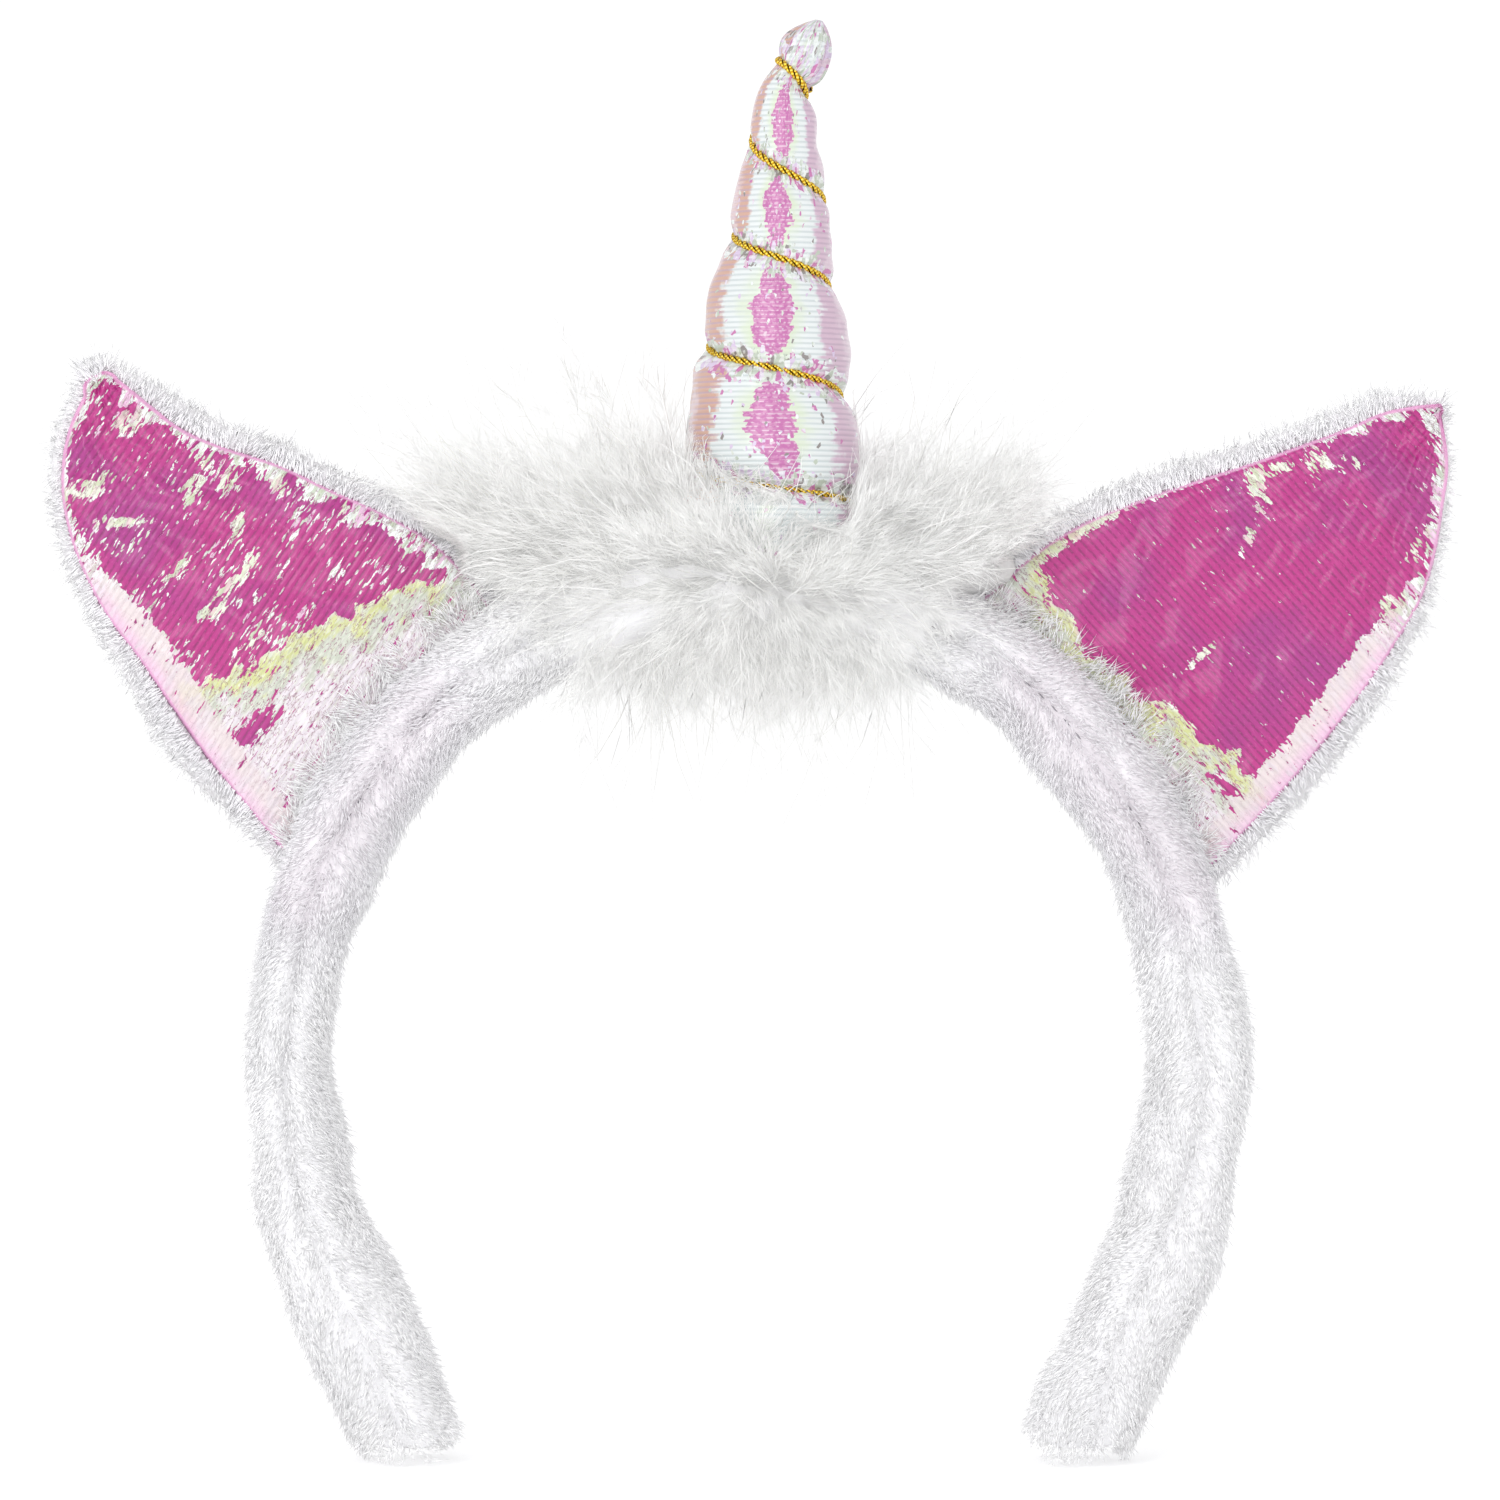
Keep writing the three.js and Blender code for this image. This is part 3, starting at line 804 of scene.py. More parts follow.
def ear_blush(points):
    """How much painted pink light, reflected from the ears' foil, and painted shade the plush near
    the ears takes on: it fades out over the distance from each ear's foot, and behind the
    headband."""
    nearness = 0
    for start, end in ear_feet:
        offset = points[..., [0, 2]] - start
        stretch = np.subtract(end, start)
        share = np.clip((offset @ stretch) / (stretch @ stretch), 0, 1)
        gap = np.linalg.norm(offset - share[..., None] * stretch, axis=-1)
        nearness = np.maximum(nearness, np.exp(-(gap / blush_reach) ** 2))
    return nearness * np.clip(0.4 - points[..., 1] / blush_reach, 0, 1)


def inner_rise(angle):
    """How far a foot's hem rises on the side of the head: its most times the fourth power of
    the angle's cosine."""
    return hem_inner_rise * np.clip(-np.cos(angle), 0, 1) ** 4


def band_ground(material):
    """The band's padded cloth tube, which ends a little over the floor in a narrower hem that
    the pile hides."""
    rows = 300
    angle = around(48)
    left = floor_share(angle, -1)
    right = floor_share(angle, 1)
    share = mix(left, right, np.linspace(0, 1, rows)[:, None])
    rings = band_point(share, np.repeat(angle[None], rows, 0), grow=-0.25)
    low = step_up(7.0 - rings[..., 2:], 0.0, 6.0)
    rings[..., 2] = np.maximum(rings[..., 2], tube_end + inner_rise(angle))
    middle = rings.mean(1, keepdims=True)
    rings[..., :2] = mix(rings[..., :2], middle[..., :2], 0.3 * low)
    return closed_piece("band_plush", rings, material, blush=ear_blush(rings))


def around_band():
    """Distance round the band's section against the angle, measured near the crown."""
    angle = np.linspace(0, 2 * pi, 721)
    ring = band_point(np.full(721, 0.4), angle, lumps=0.0)
    return path_lengths(ring), angle


ring_lengths, ring_angles = around_band()
ring_length = ring_lengths[-1]


def foot_hem(share, round_mm):
    """Height at which the pile ends over the floor: it rises and falls round each foot, and
    is higher on the side of the head."""
    foot = 40 * np.sign(share - 0.5)
    wave = ripple(36, 4.2, round_mm, foot)
    angle = np.interp(round_mm, ring_lengths, ring_angles)
    return np.clip(hem_height + hem_wave * wave, *hem_limits) + inner_rise(angle)


def band_pile(name, count, seed, material):
    """Short pile: hairs rooted evenly over the band lie down towards its feet and away from
    the seam, and their tips lean together into tufts."""
    draw = np.random.default_rng(seed)
    share, turned = spread(count, seed).T
    round_mm = turned * ring_length
    angle = np.interp(round_mm, ring_lengths, ring_angles)
    under_down = (np.abs(band_at(share)[0][:, 0]) < 27) & (np.sin(angle) < 0.6)
    over_hem = band_point(share, angle)[:, 2] > foot_hem(share, round_mm) + 0.2
    kept = over_hem & ~under_down
    share, round_mm, angle = share[kept], round_mm[kept], angle[kept]
    count = len(share)

    # The tuft of each hair: a cell of a warped grid, with four random numbers of its own
    along_mm = share * route_length
    warp = 1.3 * ripple(31, 9.0, along_mm, round_mm)
    round_warp = 1.3 * ripple(32, 8.0, along_mm, round_mm)
    cell_along = np.floor((along_mm + warp) / tuft_size)
    cell_round = np.floor((round_mm + round_warp) / tuft_size)
    kinds = 9973
    kind = (cell_along * 97 + cell_round).astype(int) % kinds
    draws = np.random.default_rng(33).random((kinds, 4))[kind]
    tuft_along = (cell_along + 0.2 + 0.6 * draws[:, 0]) * tuft_size - warp
    tuft_round = (cell_round + 0.2 + 0.6 * draws[:, 1]) * tuft_size
    tuft_share = np.clip(tuft_along / route_length, 0.001, 0.999)
    tuft_angle = np.interp(tuft_round % ring_length, ring_lengths, ring_angles)

    def lie(at_share, at_angle, length, toss):
        """Root, middle and tip of hairs that lie down and away from the seam."""
        root = band_point(at_share, at_angle, grow=-0.45)
        normal = band_normal(at_share, at_angle)
        down = band_at(at_share)[1] * np.sign(at_share - 0.5)[:, None]
        beside = unit(np.cross(normal, down))
        seam = seam_distance(at_share, at_angle)
        part = np.sign(seam) * np.exp(-(np.abs(seam) / 0.45) ** 2)
        onward = band_point(at_share, at_angle + 0.05) - band_point(at_share, at_angle - 0.05)
        ring = 10 * np.cos(at_angle), 10 * np.sin(at_angle)
        swirl = 0.9 * ripple(34, 20.0, at_share * route_length, *ring)
        flow = unit(down + beside * swirl[:, None] + unit(onward) * part[:, None] * 1.4)
        flow = unit(flow + toss)
        middle = root + length[:, None] * 0.5 * unit(normal * stand[:, None] + flow * 0.8)
        tip = middle + length[:, None] * 0.55 * unit(normal * (stand - 0.5)[:, None] + flow)
        return root, middle, tip

    loose = draw.random(count) < 0.22
    near_foot = step_up(np.abs(2 * share - 1), 0.93, 0.98)
    hang = 1 + near_foot * (0.1 + 1.1 * draws[:, 3])
    length = (1.8 + 1.1 * draw.random(count)) * (0.8 + 0.4 * draws[:, 2]) * hang
    stand = np.where(loose, 1.15, 0.68) + 0.15 * draw.normal(size=count)
    root, middle, tip = lie(share, angle, length, draw.normal(size=(count, 3)) * 0.32)
    tuft_length = 2.7 * (0.75 + 0.5 * draws[:, 2]) * hang
    _, _, tuft_tip = lie(tuft_share, tuft_angle, tuft_length, 0.0)
    apart = np.linalg.norm(tuft_tip - tip, axis=1)
    pull = (0.38 * (apart < 4.0) * ~loose)[:, None]
    tip = mix(tip, tuft_tip, pull)
    middle = mix(middle, 0.5 * (root + tuft_tip), 0.5 * pull)
    paths = np.stack([root, middle, tip], 1)

    # Hairs that would pass the hem are shortened to it
    floor = foot_hem(share, round_mm) + 0.8 * draw.random(count) ** 2
    drop = np.clip((root[:, 2] - floor) / np.maximum(root[:, 2] - tip[:, 2], 0.01), 0.15, 1)
    drop = np.where(tip[:, 2] < floor, drop, 1.0)
    paths = mix(paths[:, :1], paths, drop[:, None, None])
    paths[..., 2] = np.maximum(paths[..., 2], 0.1)
    width = 0.118 * (0.8 + 0.5 * draw.random(count))
    tone = np.clip(0.05 + 0.15 * draw.random(count) + 0.06 * draws[:, 3], 0, 0.4)
    # Painted pink reflected light and painted shade near the ears' feet
    tone = mix(tone, pink_light_and_shade_tone, 0.55 * ear_blush(root))
    return hair_piece(name, paths, width, tone, material)


def stitch_thread():
    """Plain grey sewing thread."""
    material, _, _ = finish("stitch_thread", {
        "Base Color": colour(150, 146, 152),
        "Roughness": 0.7
    })
    return material


def seam_stitches(material):
    """Grey running stitches that show here and there in the seam over both shoulders: short
    closed threads, one for every stitch length, that rise a little out of the seam."""
    stitch = 2.7
    stretches = ((0.285, 0.39), (0.58, 0.72))
    start = np.concatenate([np.arange(*ends, stitch / route_length) for ends in stretches])
    start = start[ripple(35, 17.0, start * route_length) > -0.1]
    share = start[:, None] + np.linspace(0, 0.55 * stitch / route_length, 4)
    paths = band_point(share, seam_angle(share))
    paths[..., 1] -= np.array([0.0, 0.62, 0.62, 0.0])
    width = np.full(len(start), 0.13)
    tone = np.full(len(start), 0.5)
    return hair_piece("seam_stitches", paths, width, tone, material)


# Horn: the CAD's leaning rings, swollen between the turns of the cord

horn_seat = crown_height + 0.5 * band_thickness
horn_height = 77.6
horn_radius = 11.4
horn_offset = 4.5
horn_skirt = 3.2
horn_puff = 0.23
puff_sharpness = 4
puff_droop = 0.3
pleat_depth = 0.35
pleats = 17

horn_rows = table(("rise", "lean", "waist", "tilt"), [
    (-0.050, 0.00, 1.000, 0),
    (0.060, 0.00, 0.990, 0),
    (0.190, 0.00, 0.930, 0),
    (0.270, -0.01, 0.870, 0),
    (0.370, 0.01, 0.820, 0),
    (0.485, 0.02, 0.680, 0),
    (0.580, 0.08, 0.560, 0),
    (0.650, 0.11, 0.520, 0),
    (0.770, 0.13, 0.370, 2),
    (0.820, 0.15, 0.345, 8),
    (0.859, 0.18, 0.290, 24),
    (0.891, 0.25, 0.245, 48),
    (0.914, 0.35, 0.335, 38),
    (0.943, 0.44, 0.335, 28),
    (0.970, 0.51, 0.265, 20),
    (0.990, 0.56, 0.150, 14),
    (1.000, 0.60, 0.050, 10)
])
cord_turns = table(("turn", "rise"), [
    (-0.50, 0.899),
    (0.00, 0.893),
    (0.50, 0.884),
    (1.00, 0.768),
    (1.50, 0.652),
    (2.00, 0.583),
    (2.50, 0.485),
    (3.00, 0.369),
    (3.50, 0.272),
    (4.00, 0.131),
    (4.50, 0.064),
    (4.75, 0.040)
])
first_turn = cord_turns["turn"][0]
last_turn = cord_turns["turn"][-1]


def horn_ring(rise):
    """Centre, sideways direction and waist of the horn at a share of its height."""
    level = np.zeros_like(rise)
    lean = curve(horn_rows, "rise", "lean", rise)
    tilt = np.radians(curve(horn_rows, "rise", "tilt", rise))
    centre = np.stack([horn_offset + horn_radius * lean, level, horn_seat + horn_height * rise], -1)
    across = np.stack([np.cos(tilt), level, -np.sin(tilt)], -1)
    return centre, across, horn_radius * curve(horn_rows, "rise", "waist", rise)


def horn_point(rise, angle, radius):
    """A point on a ring of this radius: the angle runs from the right to the back."""
    centre, across, _ = horn_ring(rise)
    place = centre + across * (radius * np.cos(angle))[..., None]
    return place + to_back * (radius * np.sin(angle))[..., None]


def puff(rise, angle):
    """Share of the way from each turn of the cord down to the next, and how far the
    stuffing swells there: 1 - |2 share - 1|^sharpness, fuller towards the top."""
    phase = (angle / (2 * pi) - 0.5) % 1
    highest = np.where(phase - 1 < first_turn, phase, phase - 1)
    share = np.zeros_like(rise)
    swell = np.zeros_like(rise)
    above = curve(cord_turns, "turn", "rise", highest)
    for step in range(1, 8):
        turn = highest + step
        crossing = curve(cord_turns, "turn", "rise", turn)
        below = np.where(turn > last_turn, horn_rows["rise"][0], crossing)
        inside = (rise <= above) & (rise >= below) & (above > below + 1e-6) & (turn < last_turn + 1)
        here = (above - rise) / np.maximum(above - below, 1e-6)
        share = np.where(inside, here, share)
        round_top = (1 - np.abs(2 * here - 1) ** puff_sharpness) * (1 + puff_droop * (0.5 - here))
        swell = np.where(inside, round_top, swell)
        above = below
    return share, swell


def horn_body(material):
    """The stuffed cloth horn: rings of the waist times 1 + puff, pleated where the cord pulls
    the cloth in, with a rounded tip."""
    rows = 240
    sides = 56
    lowest = -horn_skirt / horn_height
    rise = mix(lowest, 1.0, np.linspace(0, 1, rows))[:, None] * np.ones(sides)
    angle = around(sides) * np.ones((rows, 1))
    cosine = np.cos(angle)
    sine = np.sin(angle)
    climb = rise * horn_height
    _, _, waist = horn_ring(rise)
    share, swell = puff(rise, angle)
    near = step_up(np.minimum(share, 1 - share), 0.2, 0.04) * (rise < 0.88)
    close = np.clip(1 - swell, 0, 1) * step_up(1 - rise, 0.0, 0.04)
    wave = np.sin(pleats * angle + 2.4 * ripple(41, 14.0, climb, 6 * cosine, 6 * sine))
    dimple = ripple(42, 5.0, climb, waist * cosine, waist * sine)
    relief = (pleat_depth * close * wave + 0.12 * dimple) * np.minimum(waist / 5, 1)
    rings = horn_point(rise, angle, waist * (1 + horn_puff * swell) + relief)
    beneath = (rise < 0.13 - 0.066 * (0.5 + 0.5 * cosine)) & (sine < 0)
    belly = np.clip(np.sin(pi * np.clip(share, 0, 1)), 0, 1) ** 1.3
    return closed_piece(
        "horn_cloth",
        rings,
        material,
        side=cosine,
        swell=np.where(beneath, -0.6, belly),
        near=near,
        bulb=step_up(rise, 0.885, 0.905) * 0.6
    )


cord_seat = 0.25
cord_plies = 3
ply_radius = 0.29
ply_offset = 0.32
ply_pitch = 3.6
thread_spacing = 0.42


def twisted_cord(material):
    """Gold cord laid in the horn's grooves: three plies, each a tube wound round the cord's
    own path at the ply offset, one turn for every pitch of length."""
    steps = 760
    sides = 6
    turn = np.linspace(first_turn, last_turn, steps)
    rise = curve(cord_turns, "turn", "rise", turn)
    centre, _, waist = horn_ring(rise)
    path = horn_point(rise, pi * (1 + 2 * turn), waist + cord_seat)
    length = path_lengths(path)
    heading = unit(np.gradient(path, axis=0))
    outward = path - centre
    outward = unit(outward - heading * np.sum(outward * heading, 1, keepdims=True))
    beside = np.cross(heading, outward)
    angle = around(sides)[None, :, None]
    points, quads, fans, crevice_shade = [], [], [], []
    for ply in range(cord_plies):
        twist = 2 * pi * (length / ply_pitch + ply / cord_plies)
        lean = outward * np.cos(twist)[:, None] + beside * np.sin(twist)[:, None]
        middle = path + lean * ply_offset
        ahead = unit(np.gradient(middle, axis=0))
        first = unit(np.cross(ahead, lean))
        second = np.cross(first, ahead)
        ring = np.cos(angle) * second[:, None] + np.sin(angle) * first[:, None]
        rings = middle[:, None] + ply_radius * ring
        ply_points, (ply_quads, ply_fans) = skin(rings)
        before = ply * len(ply_points)
        points.append(ply_points)
        quads.append(ply_quads + before)
        fans.append(ply_fans + before)
        # How close each point lies to the cord's middle, for the painted shade between the plies
        reach = np.linalg.norm(rings - path[:, None], axis=2) / (ply_offset + ply_radius)
        crevice_shade.append(np.r_[(1 - reach).ravel() * 1.3, 1.0, 1.0])
    threads = np.r_[np.repeat(length / thread_spacing, sides), 0, 0]
    marks = {"crevice_shade": np.concatenate(crevice_shade), "turns": np.tile(threads, cord_plies)}
    faces = [np.vstack(quads), np.vstack(fans)]
    return make_piece("horn_cord_plies", np.vstack(points), faces, material, marks=marks)


# Ears: the CAD's outlines, with the foil pad in front and the plush behind and round it

clearance = 0.3
foil_edge = 1.1
foil_crown = 1.6
foil_pleat = 0.5
foil_pleats = 5
pleat_reach = 0.45
plush_edge = 2.2
plush_crown = 1.4
ear_columns = ("outer_rise", "outer_side", "outer_halo", "upper_rise", "upper_side", "upper_halo")

left_ear = {
    "name": "ear_left",
    "side": -1,
    "along": 0.317,
    "stand_off": 7.4,
    "lean": 37.8,
    "length": 62.9,
    "half_base": 23.8,
    "halo": 3.2,
    "rows": table(ear_columns, [
        (-0.200, 0.990, 0.50, -0.070, 0.990, 0.80),
        (-0.050, 1.000, 0.60, 0.090, 1.000, 0.80),
        (0.130, 1.010, 1.10, 0.220, 0.960, 0.80),
        (0.290, 0.990, 1.20, 0.350, 0.820, 0.80),
        (0.430, 0.970, 0.90, 0.470, 0.650, 0.80),
        (0.570, 0.960, 0.60, 0.590, 0.490, 0.85),
        (0.710, 0.885, 0.50, 0.700, 0.290, 0.90),
        (0.830, 0.750, 0.45, 0.795, 0.150, 1.00),
        (0.915, 0.580, 0.45, 0.875, 0.090, 0.90),
        (0.970, 0.400, 0.45, 0.940, 0.050, 0.70),
        (1.005, 0.220, 0.50, 0.985, 0.020, 0.50)
    ])
}
right_ear = {
    "name": "ear_right",
    "side": 1,
    "along": 0.322,
    "stand_off": 3.7,
    "lean": 46.4,
    "length": 69.9,
    "half_base": 26.7,
    "halo": 3.0,
    "rows": table(ear_columns, [
        (-0.120, 1.010, 0.60, -0.100, 1.010, 0.90),
        (0.030, 0.990, 0.70, 0.040, 0.990, 0.90),
        (0.143, 0.975, 0.80, 0.172, 0.970, 0.90),
        (0.258, 0.950, 0.90, 0.286, 0.900, 0.90),
        (0.372, 0.910, 0.90, 0.400, 0.784, 0.90),
        (0.487, 0.860, 0.80, 0.508, 0.652, 0.90),
        (0.587, 0.800, 0.55, 0.627, 0.502, 0.90),
        (0.683, 0.727, 0.30, 0.730, 0.382, 0.85),
        (0.773, 0.596, 0.15, 0.823, 0.277, 0.80),
        (0.859, 0.427, 0.10, 0.902, 0.200, 0.70),
        (0.930, 0.270, 0.10, 0.960, 0.105, 0.50),
        (0.990, 0.045, 0.20, 1.000, 0.020, 0.30)
    ])
}

# Painted reflections: where the foil catches the light, as soft patches in the ear's own
# plane: out is towards the outer edge and up towards the tip, in millimetres from the middle of
# the base, angle turns the patch's long side from the outward direction, and share is how many
# facets turn
patch_columns = ("out", "up", "long", "wide", "angle", "share")
left_patches = table(patch_columns, [
    (1.5, 55.7, 2.6, 1.6, 10, 0.90),
    (-3.6, 47.1, 3.6, 1.3, 100, 0.85),
    (-4.6, 40.5, 2.6, 1.6, 150, 0.60),
    (0.8, 41.9, 2.2, 1.6, 160, 0.80),
    (-1.2, 33.5, 2.8, 0.9, 128, 0.75),
    (-10.1, 35.3, 2.2, 1.3, 110, 0.95),
    (-16.4, 25.5, 2.6, 1.3, 160, 0.80),
    (9.9, 33.8, 3.4, 0.8, 185, 0.90),
    (4.3, 27.3, 4.6, 0.8, 170, 0.85),
    (0.1, 28.1, 1.4, 1.0, 150, 0.70),
    (-5.9, 26.2, 5.5, 1.6, 150, 0.35),
    (9.4, 25.7, 2.2, 1.2, 190, 0.70),
    (8.6, 18.3, 5.5, 1.2, 160, 0.50),
    (1.9, 16.2, 5.0, 1.5, 165, 0.35),
    (13.2, 51.8, 4.0, 1.4, 200, 0.90),
    (12.1, 44.4, 4.2, 0.7, 215, 0.90)
])
left_island = (15.6, 8.0, 5.6, 1.9)
left_base = table(("out", "up"), [
    (-26.0, 5.6),
    (-22.0, 7.5),
    (-17.2, 9.9),
    (-12.7, 11.4),
    (-4.5, 13.1),
    (5.4, 15.0),
    (13.5, 16.0),
    (17.0, 18.5),
    (24.0, 19.0)
])
right_patches = table(patch_columns, [
    (-10.6, 42.3, 2.6, 1.6, 130, 1.00),
    (-7.6, 40.6, 1.8, 0.9, 120, 0.80),
    (-6.8, 51.2, 2.4, 1.5, 130, 1.00),
    (-9.7, 46.1, 3.0, 0.9, 60, 0.85),
    (-3.3, 53.8, 2.2, 1.2, 40, 0.55),
    (12.8, 53.1, 3.4, 1.4, 110, 0.60),
    (16.8, 44.4, 2.2, 1.6, 110, 0.75),
    (-5.2, 35.2, 2.4, 1.0, 120, 0.60),
    (-5.0, 27.4, 2.6, 1.0, 90, 0.35),
    (2.5, 18.3, 3.0, 0.5, 90, 0.80),
    (16.0, 19.0, 2.2, 1.4, 90, 0.22),
    (-21.7, 14.0, 2.2, 1.2, 90, 0.18)
])
right_island = (19.0, 7.4, 2.6, 1.0)
right_base = table(("out", "up"), [
    (-27.0, 9.0),
    (-21.9, 10.1),
    (-18.0, 7.5),
    (-10.1, 5.9),
    (-2.3, 6.7),
    (8.1, 9.8),
    (14.0, 10.4),
    (18.7, 11.0),
    (26.0, 12.0)
])


def ear_frame(ear):
    """Middle of the base, the direction to the tip and the direction to the outer edge."""
    middle, _, outward, _ = band_at(0.5 + 0.5 * ear["side"] * ear["along"])
    lean = radians(ear["lean"])
    rise = np.array([ear["side"] * sin(lean), 0, cos(lean)])
    outer = np.array([ear["side"] * cos(lean), 0, -sin(lean)])
    return middle + outward * ear["stand_off"], rise, outer


def ear_rows(ear, halo):
    """Both edges at the CAD's rows, moved outwards square to themselves by halo."""
    rows = ear["rows"]
    outer = np.c_[rows["outer_side"] * ear["half_base"], rows["outer_rise"] * ear["length"]]
    upper = np.c_[-rows["upper_side"] * ear["half_base"], rows["upper_rise"] * ear["length"]]
    loop = np.vstack([outer, upper[::-1]])
    halos = np.r_[rows["outer_halo"], rows["upper_halo"][::-1]]
    last = len(loop) - 1
    steps = np.arange(last + 1)
    along = unit(loop[np.minimum(steps + 1, last)] - loop[np.maximum(steps - 1, 0)])
    moved = loop + np.c_[along[:, 1], -along[:, 0]] * (halo * halos)[:, None]
    count = len(outer)
    return {
        "up": np.linspace(0, 1, count),
        "outer_x": moved[:count, 0],
        "outer_y": moved[:count, 1],
        "upper_x": moved[:count - 1:-1, 0],
        "upper_y": moved[:count - 1:-1, 1]
    }


tip_share = 0.06


def tip_round(up):
    """Half width of the ear's rounded tip: 1 up to a share of 1, then a quarter ellipse."""
    past = np.clip((up - 1) / tip_share, 0, 1)
    return np.sqrt(np.clip(1 - past ** 2, 0, 1))


def ear_edges(rows, up):
    """Outer and upper edge at a share up the ear: past 1 the two come together in a half
    ellipse that rounds the tip."""
    outer = np.stack([curve(rows, "up", "outer_x", up), curve(rows, "up", "outer_y", up)], -1)
    upper = np.stack([curve(rows, "up", "upper_x", up), curve(rows, "up", "upper_y", up)], -1)
    past = np.clip((up - 1) / tip_share, 0, 1)[..., None]
    span = outer - upper
    ahead = np.stack([-span[..., 1], span[..., 0]], -1)
    middle = 0.5 * (outer + upper) + ahead * 0.4 * past
    half = 0.5 * span * tip_round(up)[..., None]
    return middle + half, middle - half


def ear_place(ear, rows, up, across, depth):
    """A point of the ear, in space and in the ear's own plane: across runs from the outer to
    the upper edge."""
    base, rise, outward = ear_frame(ear)
    outer, upper = ear_edges(rows, up)
    flat = mix(outer, upper, across[..., None])
    place = base + outward * flat[..., :1] + rise * flat[..., 1:]
    return place + to_back * depth[..., None], flat


def ear_start(ear, rows, across):
    """The share up the ear at which each line across it leaves the band, with clearance,
    evened out over nine lines."""
    steps = 181
    columns = np.linspace(0, 1, 60)
    up = np.linspace(0, 0.6, steps)[:, None] * np.ones(len(columns))
    place, _ = ear_place(ear, rows, up, columns * np.ones((steps, 1)), np.zeros(up.shape))
    middle, _, _, half = band_at(np.linspace(0.02, 0.98, 800))
    gaps = np.linalg.norm(place[:, :, None, [0, 2]] - middle[:, [0, 2]], axis=-1)
    inside = (gaps - half).min(-1) < clearance
    last = np.where(inside.any(0), steps - np.argmax(inside[::-1], axis=0), 0)
    start = up[np.minimum(last, steps - 1), 0]
    even = np.convolve(np.pad(start, 4, mode="edge"), np.ones(9) / 9, mode="valid")
    return np.interp(across, columns, even)


def dome(across):
    """Roundness across the ear: 0 at its edges, 1 in its middle."""
    return 1 - (2 * across - 1) ** 2


def turned_edge(across, width):
    """Quarter round at both edges: 0 at the edge, 1 from width inwards."""
    inward = np.clip(np.minimum(across, 1 - across) / width, 0, 1)
    return np.sqrt(1 - (1 - inward) ** 2)


def plush_depth(ear, up, across):
    """Depth of the plush back behind the ear's plane: domed, lumpy and rounded at its edges."""
    body = plush_edge + plush_crown * dome(across) * np.clip(1 - up ** 3, 0, 1)
    lumps = 0.3 * ripple(71, 12.0, up * ear["length"], across * 45)
    return 0.5 * clearance + turned_edge(across, 0.07) * tip_round(up) * (body + lumps)


def ear_pad(ear, rows, front_columns, back_columns, height, front, back):
    """Closed pad: for each row the front columns run from the outer to the upper edge and the
    back columns return. Gives the rings with their place up, across and in the flat plane."""
    across = np.r_[np.linspace(0, 1, front_columns), np.linspace(1, 0, back_columns)[1:-1]]
    is_front = np.arange(len(across)) < front_columns
    start = ear_start(ear, rows, across)
    share = np.linspace(0, 1 + tip_share, height)[:, None] * np.ones(len(across))
    up = np.where(share <= 1, start + (1 - start) * share, share)
    across = across * np.ones((height, 1))
    depth = np.where(is_front, front(across, up), back(across, up))
    rings, flat = ear_place(ear, rows, up, across, depth)
    return rings, up, flat


def edge_gaps(rows, flat):
    """Distance of points in the ear's plane to its outer and to its upper edge, and to the
    end of the tip."""
    outer, upper = ear_edges(rows, np.linspace(0, 1 + tip_share, 160))
    to_outer = np.linalg.norm(flat[:, None] - outer, axis=-1).min(-1)
    to_upper = np.linalg.norm(flat[:, None] - upper, axis=-1).min(-1)
    to_tip = np.linalg.norm(flat - outer[-1], axis=-1)
    return to_outer, to_upper, to_tip


def patch_share(patches, spot):
    """The strongest of the patches at each point: 0.85 of its share times a bell,
    exp(-0.6 r^2.8), where r is 1 at its long and wide sizes."""
    best = 0
    for out, up, long, wide, angle, share in zip(*patches.values()):
        offset = spot - (out, up)
        turn = radians(angle)
        along = offset @ (cos(turn), sin(turn))
        beside = offset @ (-sin(turn), cos(turn))
        reach = (along / long) ** 2 + (beside / wide) ** 2
        best = np.maximum(best, 0.85 * share * np.exp(-0.6 * reach ** 1.4))
    return best


